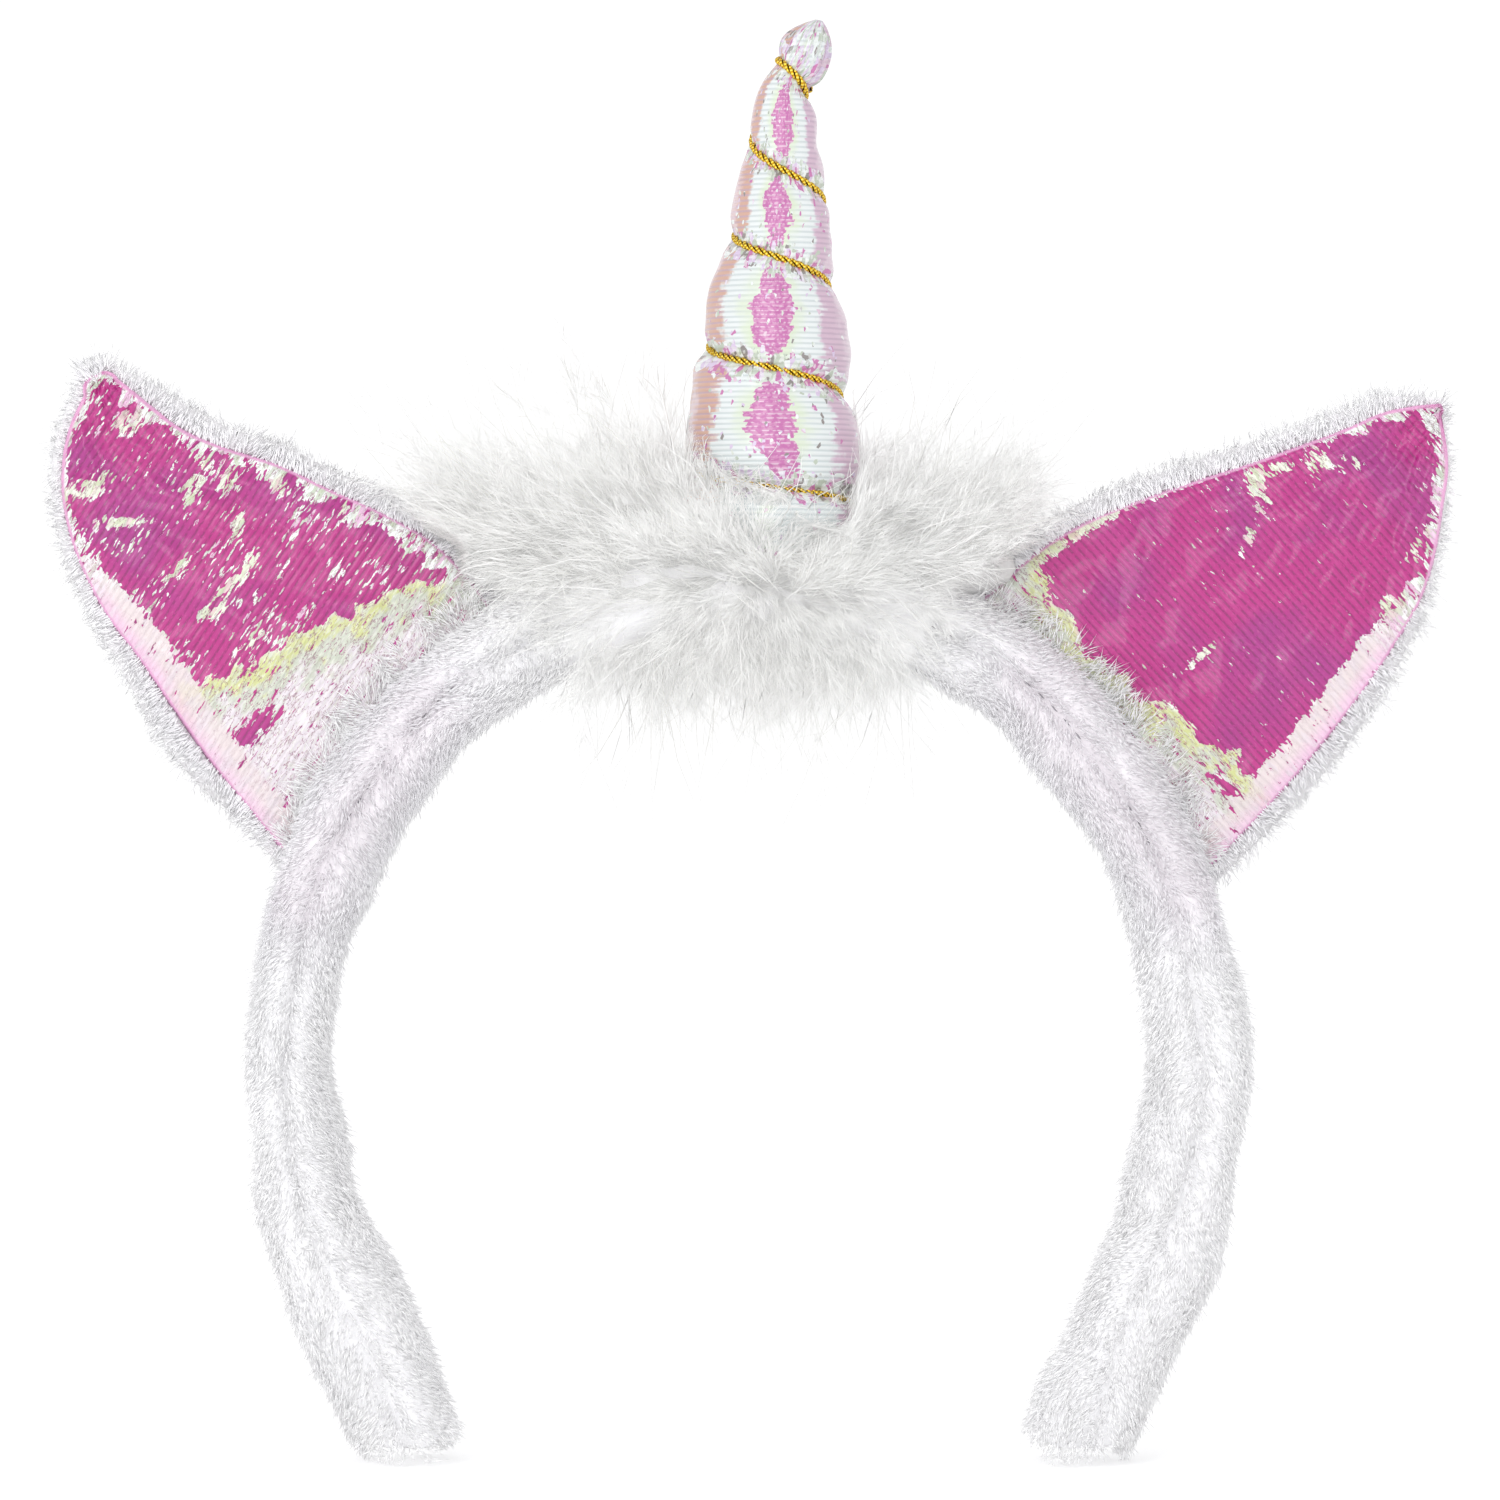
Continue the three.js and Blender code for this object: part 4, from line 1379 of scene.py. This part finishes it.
def foil_pad(ear, patches, base_edge, island, scatter, material):
    """The foil face: the CAD's padded front with pleats at the base, finely crumpled, and
    marks that say where its painted reflections go, as where it catches the light: in bands along
    its edges and at its base, and in patches, but not on the island in the base band."""
    rows = ear_rows(ear, 0.0)
    seed = 50 + ear["side"]

    def front(across, up):
        folds = foil_pleat * np.sin(foil_pleats * pi * across) * np.maximum(0, 1 - up / pleat_reach)
        crumple = ripple(seed, 7.0, up * ear["length"], across * 40) * 0.28
        crumple = crumple + np.abs(ripple(seed + 3, 4.5, up * ear["length"], across * 34)) * 0.25
        body = foil_edge + foil_crown * dome(across) * np.clip(1 - up ** 3, 0, 1)
        depth = body - folds + (crumple - 0.2) * turned_edge(across, 0.2)
        return -0.5 * clearance - turned_edge(across, 0.05) * tip_round(up) * depth

    def back(across, up):
        return np.full(across.shape, -0.5 * clearance)

    rings, up, flat = ear_pad(ear, rows, 84, 10, 120, front, back)
    up = up.ravel()
    spot = flat.reshape(-1, 2)
    out, high = spot.T
    to_outer, to_upper, to_tip = edge_gaps(rows, spot)

    # Widths of the pale bands of painted reflection along the upper and the outer edge and round
    # the tip
    low = step_up(0.66 - up, 0.0, 0.25)
    high_up = step_up(up, 0.45, 0.7)
    if ear["side"] < 0:
        near_base = step_up(0.4 - up, 0, 0.15)
        top_band = 1.6 + 1.3 * ripple(61, 5.0, high) + 1.2 * near_base
        outer_band = mix(3.6 + 1.4 * low, 1.1, high_up)
        outer_share = mix(1.0, 0.8, high_up)
        tip_band = 1.2
    else:
        near_base = step_up(0.5 - up, 0, 0.35)
        near_tip = step_up(up, 0.62, 0.75)
        top_band = 0.3 + 1.7 * near_base + near_tip * (0.9 + 0.7 * ripple(63, 6.0, high))
        outer_band = mix(4.6, 1.8, high_up) + 0.5 * ripple(65, 5.0, high)
        outer_share = mix(1.0, 0.85, high_up)
        tip_band = 2.6
    by_top = step_up(top_band - to_upper, -0.9, 0.5) * 0.85
    by_outer = step_up(outer_band - to_outer, -1.1, 0.5) * outer_share
    by_tip = step_up(tip_band - to_tip, -2.2, 0.8) * 0.85

    # The pale band of painted reflection at the base, up to its measured edge and round the island
    ragged = 0.9 * ripple(62, 4.0, out, 0.3 * high)
    inset = curve(base_edge, "out", "up", out) + ragged - high
    island_out, island_up, long, wide = island
    hole = np.exp(-(((out - island_out) / long) ** 4) - ((high - island_up) / wide) ** 4)
    by_base = step_up(inset, -0.9, 0.4) * (1 - 0.85 * hole)

    patch = patch_share(patches, spot)
    pale = np.maximum.reduce([by_top, by_outer, by_base, by_tip, patch])
    gathered = step_up(ripple(66, 11.0, out, high), -0.6, 1.2)
    lime = np.clip(by_base * 1.1 + 0.35 * (patch > 0.3) - by_top, 0, 1)
    if ear["side"] > 0:
        lime = np.maximum(lime, by_top * near_base * 0.8)
    return closed_piece(
        ear["name"] + "_foil_face",
        rings,
        material,
        outer=to_outer,
        pale=pale,
        flecks=scatter * (0.25 + 2.0 * gathered) + 0.3 * (pale > 0.15) * pale,
        inset=inset * (by_base > 0),
        lime=lime,
        rose=np.clip(by_outer * low * 1.4 - by_base * 0.6, 0, 1),
        rim=np.minimum(to_outer, to_upper)
    )


def plush_shell(ear, material):
    """The plush back: flat in front, where the foil lies on it, and domed behind."""
    rows = ear_rows(ear, ear["halo"])

    def front(across, up):
        return np.full(across.shape, 0.5 * clearance)

    def back(across, up):
        return plush_depth(ear, up, across)

    rings, _, _ = ear_pad(ear, rows, 14, 34, 80, front, back)
    # Painted pink reflected light and painted shade near the ears' feet and over all the front face
    blush = np.clip(ear_blush(rings) + 0.4 * (rings[..., 1] < 1.0), 0, 1)
    return closed_piece(ear["name"] + "_plush_back", rings, material, blush=blush)


def ear_pile(ear, ring_count, back_count, skirt_count, seed, material):
    """Pile of the ear's plush: a fringe that stands out round the foil, tufted along the
    edge, a coat that lies towards the tip over the back, and a skirt of the band's hairs
    that lies over the foot of the foil."""
    draw = np.random.default_rng(seed)
    rows = ear_rows(ear, ear["halo"])
    base, rise, outward = ear_frame(ear)

    # Fringe
    outer, upper = ear_edges(rows, np.linspace(0, 1 + tip_share, 400))
    loop = np.vstack([outer, upper[::-1][1:]])
    lengths = path_lengths(loop)
    at = draw.random(ring_count) * lengths[-1]
    cell = np.floor((at + 0.6 * ripple(seed, 5.0, at)) / tuft_size).astype(int)
    layer = draw.integers(0, 3, ring_count)
    tuft_draws = np.random.default_rng(seed + 1).random((400, 3, 4))[cell % 400, layer]
    tuft_at = (cell + 0.2 + 0.6 * tuft_draws[:, 0]) * tuft_size

    def at_edge(where):
        return np.stack([np.interp(where, lengths, loop[:, i]) for i in range(2)], -1)

    def on_edge(where):
        """Place, direction away from the ear and direction along the edge."""
        along = unit(at_edge(where + 1.2) - at_edge(where - 1.2))
        return at_edge(where), np.stack([along[:, 1], -along[:, 0]], -1), along

    def to_space(flat):
        return outward * flat[:, :1] + rise * flat[:, 1:]

    spot, away, along = on_edge(at)
    inset = 4.6 * draw.random(ring_count) ** 0.9
    depth = 0.2 + 2.4 * draw.random(ring_count) * (inset < 1.5)
    root = base + to_space(spot - away * inset[:, None]) + to_back * depth[:, None]
    sway = 0.5 * ripple(seed + 2, 14.0, at) + 0.35 * draw.normal(size=ring_count) - 0.25
    heading = to_space(unit(away + along * sway[:, None]))
    lift = 0.55 + 0.35 * draw.random(ring_count)
    lift = lift * np.where(inset < 1.0, draw.uniform(-1, 1, ring_count), 1)
    length = (2.2 + 0.9 * draw.random(ring_count)) * (0.7 + 0.6 * tuft_draws[:, 1])
    first = heading - to_back * lift[:, None]
    fringe = bent(root, length[:, None], first, heading - to_back * 0.2)
    tuft_spot, tuft_away, tuft_along = on_edge(tuft_at)
    tuft_out = (0.3 + 1.5 * tuft_draws[:, 2] - 1.4 * layer)[:, None]
    tuft_sway = 0.7 * ripple(seed + 2, 14.0, tuft_at)[:, None]
    tuft_tip = base + to_space(tuft_spot + tuft_away * tuft_out + tuft_along * tuft_sway)
    tuft_tip[:, 1] += -0.6 + 2.2 * (tuft_draws[:, 3] - 0.2)
    close = np.linalg.norm(tuft_tip - fringe[:, 2], axis=1) < 4.0
    fringe[:, 2] = mix(fringe[:, 2], tuft_tip, 0.5 * close[:, None])

    # Coat
    across, height = spread(back_count, seed).T
    start = ear_start(ear, rows, across)
    up = start + (1 - start) * (1 - np.sqrt(1 - height * 0.98))
    root = ear_place(ear, rows, up, across, plush_depth(ear, up, across))[0]
    swirl = 0.6 * ripple(seed + 4, 16.0, up * ear["length"], across * 40)
    spin = (0.5 - across) * 1.1 + swirl + 0.3 * draw.normal(size=back_count)
    lay = unit(rise + outward * spin[:, None])
    length = 1.9 + 1.1 * draw.random(back_count)
    coat = bent(root, length[:, None], lay + to_back * 0.9, lay + to_back * 0.15)

    # Skirt
    across = 0.02 + 0.96 * draw.random(skirt_count)
    start = ear_start(ear, rows, across) + 0.025 - 0.055 * draw.random(skirt_count)
    depth = -(0.3 + 1.2 * draw.random(skirt_count) + foil_crown * dome(across) * 1.1)
    root = ear_place(ear, ear_rows(ear, 0.0), start, across, depth)[0]
    spin = 0.7 * ripple(seed + 5, 9.0, across * 46) + 0.4 * draw.normal(size=skirt_count)
    lay = unit(rise + outward * spin[:, None])
    length = 1.6 + 2.8 * draw.random(skirt_count) ** 1.5
    skirt = bent(root, length[:, None], lay - to_back * 0.4, lay - to_back * 0.05)

    paths = np.concatenate([fringe, coat, skirt])
    total = len(paths)
    in_skirt = np.arange(total) >= ring_count + back_count
    width = 0.1 * (0.8 + 0.5 * draw.random(total)) * np.where(in_skirt, 0.75, 1.0)
    # Painted pink reflected light and painted shade near the ears' feet, and on fringe hairs rooted
    # more than 2.2 mm in from the edge
    blush = ear_blush(paths[:, 0])
    blush[:ring_count] = np.maximum(blush[:ring_count], 0.35 * (inset > 2.2))
    # The skirt's hairs are paler and take on less pink: painted light that lifts the shade between
    # the band and the foil
    paler = np.where(in_skirt, 0.3, 1.0)
    tone = (0.05 + 0.3 * draw.random(total)) * paler
    tone = mix(tone, pink_light_and_shade_tone, 0.75 * blush * paler)
    return hair_piece(ear["name"] + "_pile", paths, width, tone, material)


# Down trim: a soft bed laid over the crown and loose plumes that fan out of it

trim_reach = 40.0
trim_radial = 14.4
trim_depth = 18.3
deepest_stand = 23.0

# The line under which down stays before the horn: its height at its own middle and its slope
veil_middle = -6.0
veil_height = 147.4
veil_slope = 0.28
trim_share = trim_reach / (0.5 * route_length)
trim_rows = table(("along", "lift", "radial", "depth"), [
    (0.00, 0.16, 1.00, 1.00),
    (0.45, 0.30, 1.00, 0.97),
    (0.70, 0.62, 0.92, 0.88),
    (0.88, 0.84, 0.76, 0.74),
    (1.00, 0.94, 0.50, 0.50)
])


def trim_at(along):
    """The trim's centre, its outward and sideways directions and its two half sizes: along
    runs from -1 at its left end to 1."""
    middle, heading, outward, _ = band_at(0.5 + 0.5 * trim_share * along)
    at = np.abs(along)
    lift = trim_radial * curve(trim_rows, "along", "lift", at)
    radial = trim_radial * curve(trim_rows, "along", "radial", at)
    depth = trim_depth * curve(trim_rows, "along", "depth", at)
    return middle + outward * lift[..., None], outward, heading, radial, depth


def off_horn(points, room):
    """Points inside the horn's room are moved straight out to its surface."""
    rise = np.clip((points[..., 2] - horn_seat) / horn_height, -0.05, 1)
    centre, _, waist = horn_ring(rise)
    away = points - centre
    away[..., 2] = 0
    gap = np.linalg.norm(away, axis=-1)
    reach = waist * 1.2 + room
    push = np.where((gap < reach) & (points[..., 2] > horn_seat - 3), reach - gap, 0)
    return points + unit(away) * push[..., None]


def comb_down(points, loose):
    """Down laid out of the way. Before the horn its tips stay under a line that falls to the
    right and stands higher at the horn's left edge, all but a loose share of each. At both
    ends it passes behind the ears' feet. Past the deepest stand only two fifths are left."""
    x, y, z = (points[..., axis] for axis in range(3))
    limit = veil_height - veil_slope * (x - veil_middle)
    limit = limit - 3.2 * step_up(x, 5.0, 10.0) + 7.0 * step_up(-x, 2.0, 8.0)
    before_horn = step_up(14.0 - np.abs(x - horn_offset), 0, 3) * (y < -3)
    z -= np.maximum(z - limit, 0) * before_horn * (1 - loose[:, None])
    is_left = x < 0
    past = np.abs(x) - np.where(is_left, 40.5, 37.0)
    foot_top = np.where(is_left, 136.2, 133.8) + 0.5 * np.maximum(past, 0)
    foot_end = np.where(is_left, 128.0, 127.0) - past
    under = step_up(past, 0, 2.5) * step_up(foot_top - z, -1.5, 1.0) * (z > foot_end)
    y[...] = mix(y, np.maximum(y, 4.5), under)
    y -= np.sign(y) * np.maximum(np.abs(y) - deepest_stand, 0) * 0.6
    return points


def down_bed(material):
    """The matted middle of the trim: its oval section at a smaller size, roughened."""
    rows = 70
    sides = 60
    along = np.linspace(-0.9, 0.9, rows)[:, None] * np.ones(sides)
    angle = around(sides) * np.ones((rows, 1))
    cosine = np.cos(angle)
    sine = np.sin(angle)
    centre, outward, _, radial, depth = trim_at(along)
    ends = np.sqrt(np.clip(1 - (along / 0.91) ** 4, 0, 1))
    rough = 1 + 0.12 * ripple(81, 7.0, along * trim_reach, 12 * cosine, 12 * sine)
    size = (0.64 + 0.08 * cosine) * ends * rough
    rings = centre + outward * (size * radial * cosine)[..., None]
    rings = rings + to_back * (size * depth * sine)[..., None]
    return closed_piece("marabou_bed", rings, material)


parting = np.array([0.3, 0.0, 130.5])


def parting_gap(points):
    """Distance from the parting, seen from the front."""
    return np.linalg.norm((points - parting)[..., [0, 2]], axis=-1)


def plume_routes(count, seed):
    """Start, first and last heading and length of each plume: most leave the bed all round
    it, and bend away from the parting in the middle of the front or down over the back. The
    first twelfth stand round the foot of the horn and bend up and sideways over it."""
    draw = np.random.default_rng(seed)
    level_only = np.array([1.0, 0, 1.0])

    # Starts: a place along the trim and an angle round it, more of them in front
    spots, turns = spread(count, seed).T
    along = (2 * spots - 1) * 0.92
    along = np.where(along > 0, along * 0.86, along)
    front = 0.6
    angle = np.where(turns < front, -pi * turns / front, pi * (turns - front) / (1 - front))
    end = step_up(np.abs(along), 0.5, 0.9)
    angle = np.where((end > 0.3) & (np.cos(angle) < -0.1), angle + pi, angle)
    centre, outward, sideways, radial, depth = trim_at(along)
    cosine = np.cos(angle)[:, None]
    sine = np.sin(angle)[:, None]
    inner = draw.uniform(0.45, 0.9, count)[:, None]
    section = outward * radial[:, None] * cosine + to_back * depth[:, None] * sine
    start = centre + inner * section
    gather = 0.36 * np.exp(-((parting_gap(start)[:, None] / 11.0) ** 2)) * (sine < -0.3)
    start = start + (parting - start) * gather * level_only

    # Headings: away from the bed, then along a flow over it
    away = unit(outward * cosine + to_back * sine)
    across = along[:, None] + draw.normal(size=(count, 1)) * 0.6
    upward = cosine * 1.2 + draw.normal(size=(count, 1)) * 0.5
    to_side = 0.1 * draw.normal(size=(count, 1))
    flow = unit(sideways * across + outward * upward + to_back * to_side)
    spokes = unit((start - parting) * level_only)
    before = step_up(-sine, 0.2, 0.8) * step_up(parting_gap(start)[:, None], 1.0, 8.0)
    behind = step_up(sine, 0.2, 0.8)
    falling = unit(sideways * across * 0.7 + outward * (cosine * 1.6 - 0.35))
    flow = mix(mix(flow, spokes, before), falling, behind)
    flow = unit(flow + draw.normal(size=(count, 3)) * 0.2)
    leave = unit(away * mix(0.75, 0.5, before) + flow * 0.8 + draw.normal(size=(count, 3)) * 0.25)
    droop = np.array([0, 0, 0.1])
    arrive = unit(away * 0.1 + flow + draw.normal(size=(count, 3)) * 0.3 - droop)

    # Lengths: short before the horn, and one in three of those to its left stands tall
    x, y, z = start.T
    before_horn = (np.abs(x - horn_offset) < 15) & (y < -2) & (z > 128)
    length = draw.uniform(5, 13, count) * (1 - 0.35 * end) * np.where(before_horn, 0.5, 1.0)
    rank = draw.random(count)
    may_stand = (cosine[:, 0] > 0.3) & (x < -2)
    length = length * np.where(may_stand & (rank < 0.34), 2.4, np.where(rank < 0.14, 1.7, 1.0))

    # The collar round the foot of the horn, a third of it behind
    collar = count // 12
    spot = draw.uniform(-14, 16, collar)
    height = np.where(spot < 3, 133.0, 128.0) + 4 * draw.random(collar)
    facing = np.where(np.arange(collar) % 3 == 0, -1.0, 1.0)
    start[:collar] = np.stack([spot, -facing * (13.5 + 4.5 * draw.random(collar)), height], -1)
    lean = np.where(spot < 6, -0.5, 0.75) + 0.5 * draw.normal(size=collar)
    leave[:collar] = unit(np.stack([0.5 * lean, -0.35 * facing, np.full(collar, 0.6)], -1))
    rising = 0.5 + 0.3 * draw.normal(size=collar)
    arrive[:collar] = unit(np.stack([lean, -0.12 * facing, rising], -1))
    length[:collar] = draw.uniform(4, 8, collar)
    return start, leave, arrive, length


def down_plumes(name, plume_count, barb_count, seed, material):
    """Plumes of down: each has a spine that bends from its first heading to its last, and
    barbs that leave the spine all along it, spread out and bend back to its direction."""
    draw = np.random.default_rng(seed + 50)
    start, leave, arrive, length = plume_routes(plume_count, seed)
    share = draw.random((plume_count, barb_count)) ** 0.85
    at = share[..., None]
    bend = (arrive - leave)[:, None]
    foot = start[:, None] + (leave[:, None] * at + bend * 0.5 * at ** 2) * length[:, None, None]
    heading = unit(leave[:, None] + bend * at)
    side = unit(np.cross(heading, draw.normal(size=heading.shape)))
    open_out = draw.uniform(0.15, 1.1, share.shape)[..., None]
    barb_length = (draw.uniform(4.5, 9.5, share.shape) * (1.1 - 0.45 * share))[..., None]
    first = unit(heading + side * open_out)
    last = first * 0.9 + heading * 0.3 + draw.normal(size=side.shape) * 0.16
    paths = bent(foot, barb_length, first, last).reshape(-1, 3, 3)
    total = len(paths)
    paths = comb_down(off_horn(paths, 0.3), 0.04 + 0.5 * draw.random(total) ** 4)
    width = 0.036 * (0.8 + 0.5 * draw.random(total))

    # Tone: random, with painted light that makes it paler to the right, and painted shade that
    # makes it darker in the parting and at the tall plumes' ends
    tone = 0.5 * draw.random((plume_count, 1)) + 0.3 * draw.random((plume_count, barb_count))
    x, y, z = paths[:, 0].T
    in_parting = np.exp(-((parting_gap(paths[:, 0]) / 4.0) ** 2)) * (y < -4)
    tall = step_up(z, 152.0, 158.0) * (x < 0)
    tone = tone.ravel() * (1 - 0.7 * step_up(x, 5, 20)) + 0.15 * in_parting + 0.4 * tall
    return hair_piece(name, paths, width, np.clip(tone, 0, 1), material)


def down_wisps(count, seed, material):
    """Long single hairs that stand out of the plumes and curl at their ends."""
    draw = np.random.default_rng(seed + 70)
    start, leave, arrive, length = plume_routes(count, seed)
    curl = draw.normal(size=(count, 3)) * 0.6
    reach = np.clip(length * draw.uniform(1.2, 2.2, count), 6, 27)[:, None]
    paths = []
    for at in np.linspace(0, 1, 5):
        heading = leave * at + (arrive - leave) * 0.5 * at ** 2 + curl * 0.33 * at ** 3
        paths.append(start + heading * reach)
    paths = comb_down(off_horn(np.stack(paths, 1), 0.4), 0.2 + 0.8 * draw.random(count))
    width = 0.075 * (0.7 + 0.6 * draw.random(count))
    # Darker than the plumes: painted shade on the single hairs
    tone = 0.7 + 0.3 * draw.random(count)
    taper = np.array([1.0, 0.9, 0.7])
    return hair_piece("marabou_wisps", paths, width, tone, material, taper)


# Stage: a pale floor, a bright even sky and one large soft lamp

def pale_stage():
    """A wide level floor just under the headband."""
    reach = 6000.0
    corners = np.array([(-1, -1), (1, -1), (1, 1), (-1, 1)], float) * reach
    points = np.c_[corners, np.full(4, -0.2)]
    material, wire, shader = finish("pale_floor", {
        "Roughness": 0.9,
        "Specular IOR Level": 0.1,
        "Emission Color": white_light,
        "Emission Strength": floor_glow
    })
    grain = noise(position(wire), 60.0)
    feed(layered(colour(247, 247, 247), (grain, (249, 249, 249))), shader, "Base Color")
    floor = make_piece("floor", points, [np.array([[0, 1, 2, 3]])], material)


def soft_light():
    """White all round, brightest level with the headband, and a soft lamp from the front left."""
    world = bpy.data.worlds.new("studio")
    world.use_nodes = True
    scene.world = world
    tree = world.node_tree
    wire = Wire(tree)
    heading = wire.add("ShaderNodeTexCoord")
    height = part_of(heading, (0.0, 0.0, 1.0))
    climb = height.ramp(0.15, 0.5)
    light = climb.add(
        "ShaderNodeMix",
        out=2,
        sockets={0: climb, 6: (1.06, 1.06, 1.06, 1), 7: (0.88, 0.88, 0.89, 1)},
        data_type="RGBA",
    )
    tree.links.new(light.socket, tree.nodes["Background"].inputs["Color"])
    lamp = bpy.data.objects.new("lamp", bpy.data.lights.new("lamp", "AREA"))
    lamp.data.size = 1.2
    lamp.data.energy = 18.0
    lamp.location = (-0.7, -2.3, 1.0)
    lamp.rotation_euler = (radians(70), 0, radians(-17))
    scene.collection.objects.link(lamp)


def place(piece, node, slot):
    """The piece moves with the headband and stands for its CAD node; its slot is not used."""
    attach(piece, "root")
    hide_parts(node)
    return piece


pale_stage()
soft_light()

# Hair colours over the tone: whites for the random tone up to 0.4, and at 1.0 the painted pink
# reflected light and painted shade near the ears
white_shades = [
    (0.0, colour(253, 253, 253)),
    (0.4, colour(244, 243, 246)),
    (1.0, colour(230, 220, 228))
]
# Down colours over the tone: random whites, whose darker end also gives the painted shade in the
# parting, at the tall plumes' ends and on the wisps
down_shades = [
    (0.0, colour(255, 255, 254)),
    (0.4, colour(250, 250, 248)),
    (0.8, colour(238, 237, 236)),
    (1.0, colour(222, 222, 218))
]
ground = plush_ground()
pile = hair_material("plush_pile", white_shades, pile_painted_glow)
down = hair_material("down_barbs", down_shades, down_painted_glow)

place(band_ground(ground), "band", "plush")
place(band_pile("band_pile_1", 35400, 101, pile), "band", "plush")
place(band_pile("band_pile_2", 35400, 102, pile), "band", "plush")
place(seam_stitches(stitch_thread()), "band", "plush")

place(horn_body(horn_cloth()), "horn", "horn_cloth")
place(twisted_cord(gold_cord()), "horn_cord", "gold_cord")

for ear, patches, base_edge, island, scatter, rib_angle in (
    (left_ear, left_patches, left_base, left_island, 0.055, 56.0),
    (right_ear, right_patches, right_base, right_island, 0.008, -47.0),
):
    cloth = ear_foil(ear["name"] + "_foil", rib_angle)
    foil = foil_pad(ear, patches, base_edge, island, scatter, cloth)
    place(foil, ear["name"] + "_foil", "ear_foil")
    place(plush_shell(ear, ground), ear["name"] + "_plush", "plush")
    seed = 120 + ear["side"]
    place(ear_pile(ear, 5600, 2800, 1800, seed, pile), ear["name"] + "_plush", "plush")

place(down_bed(down_core()), "marabou_trim", "marabou_down")
place(down_plumes("marabou_plumes_1", 550, 48, 131, down), "marabou_trim", "marabou_down")
place(down_plumes("marabou_plumes_2", 550, 48, 132, down), "marabou_trim", "marabou_down")
place(down_wisps(2000, 133, down), "marabou_trim", "marabou_down")


def corners(box):
    """A box as plain lists of its lowest and highest corner."""
    return [[float(part) for part in corner] for corner in box]
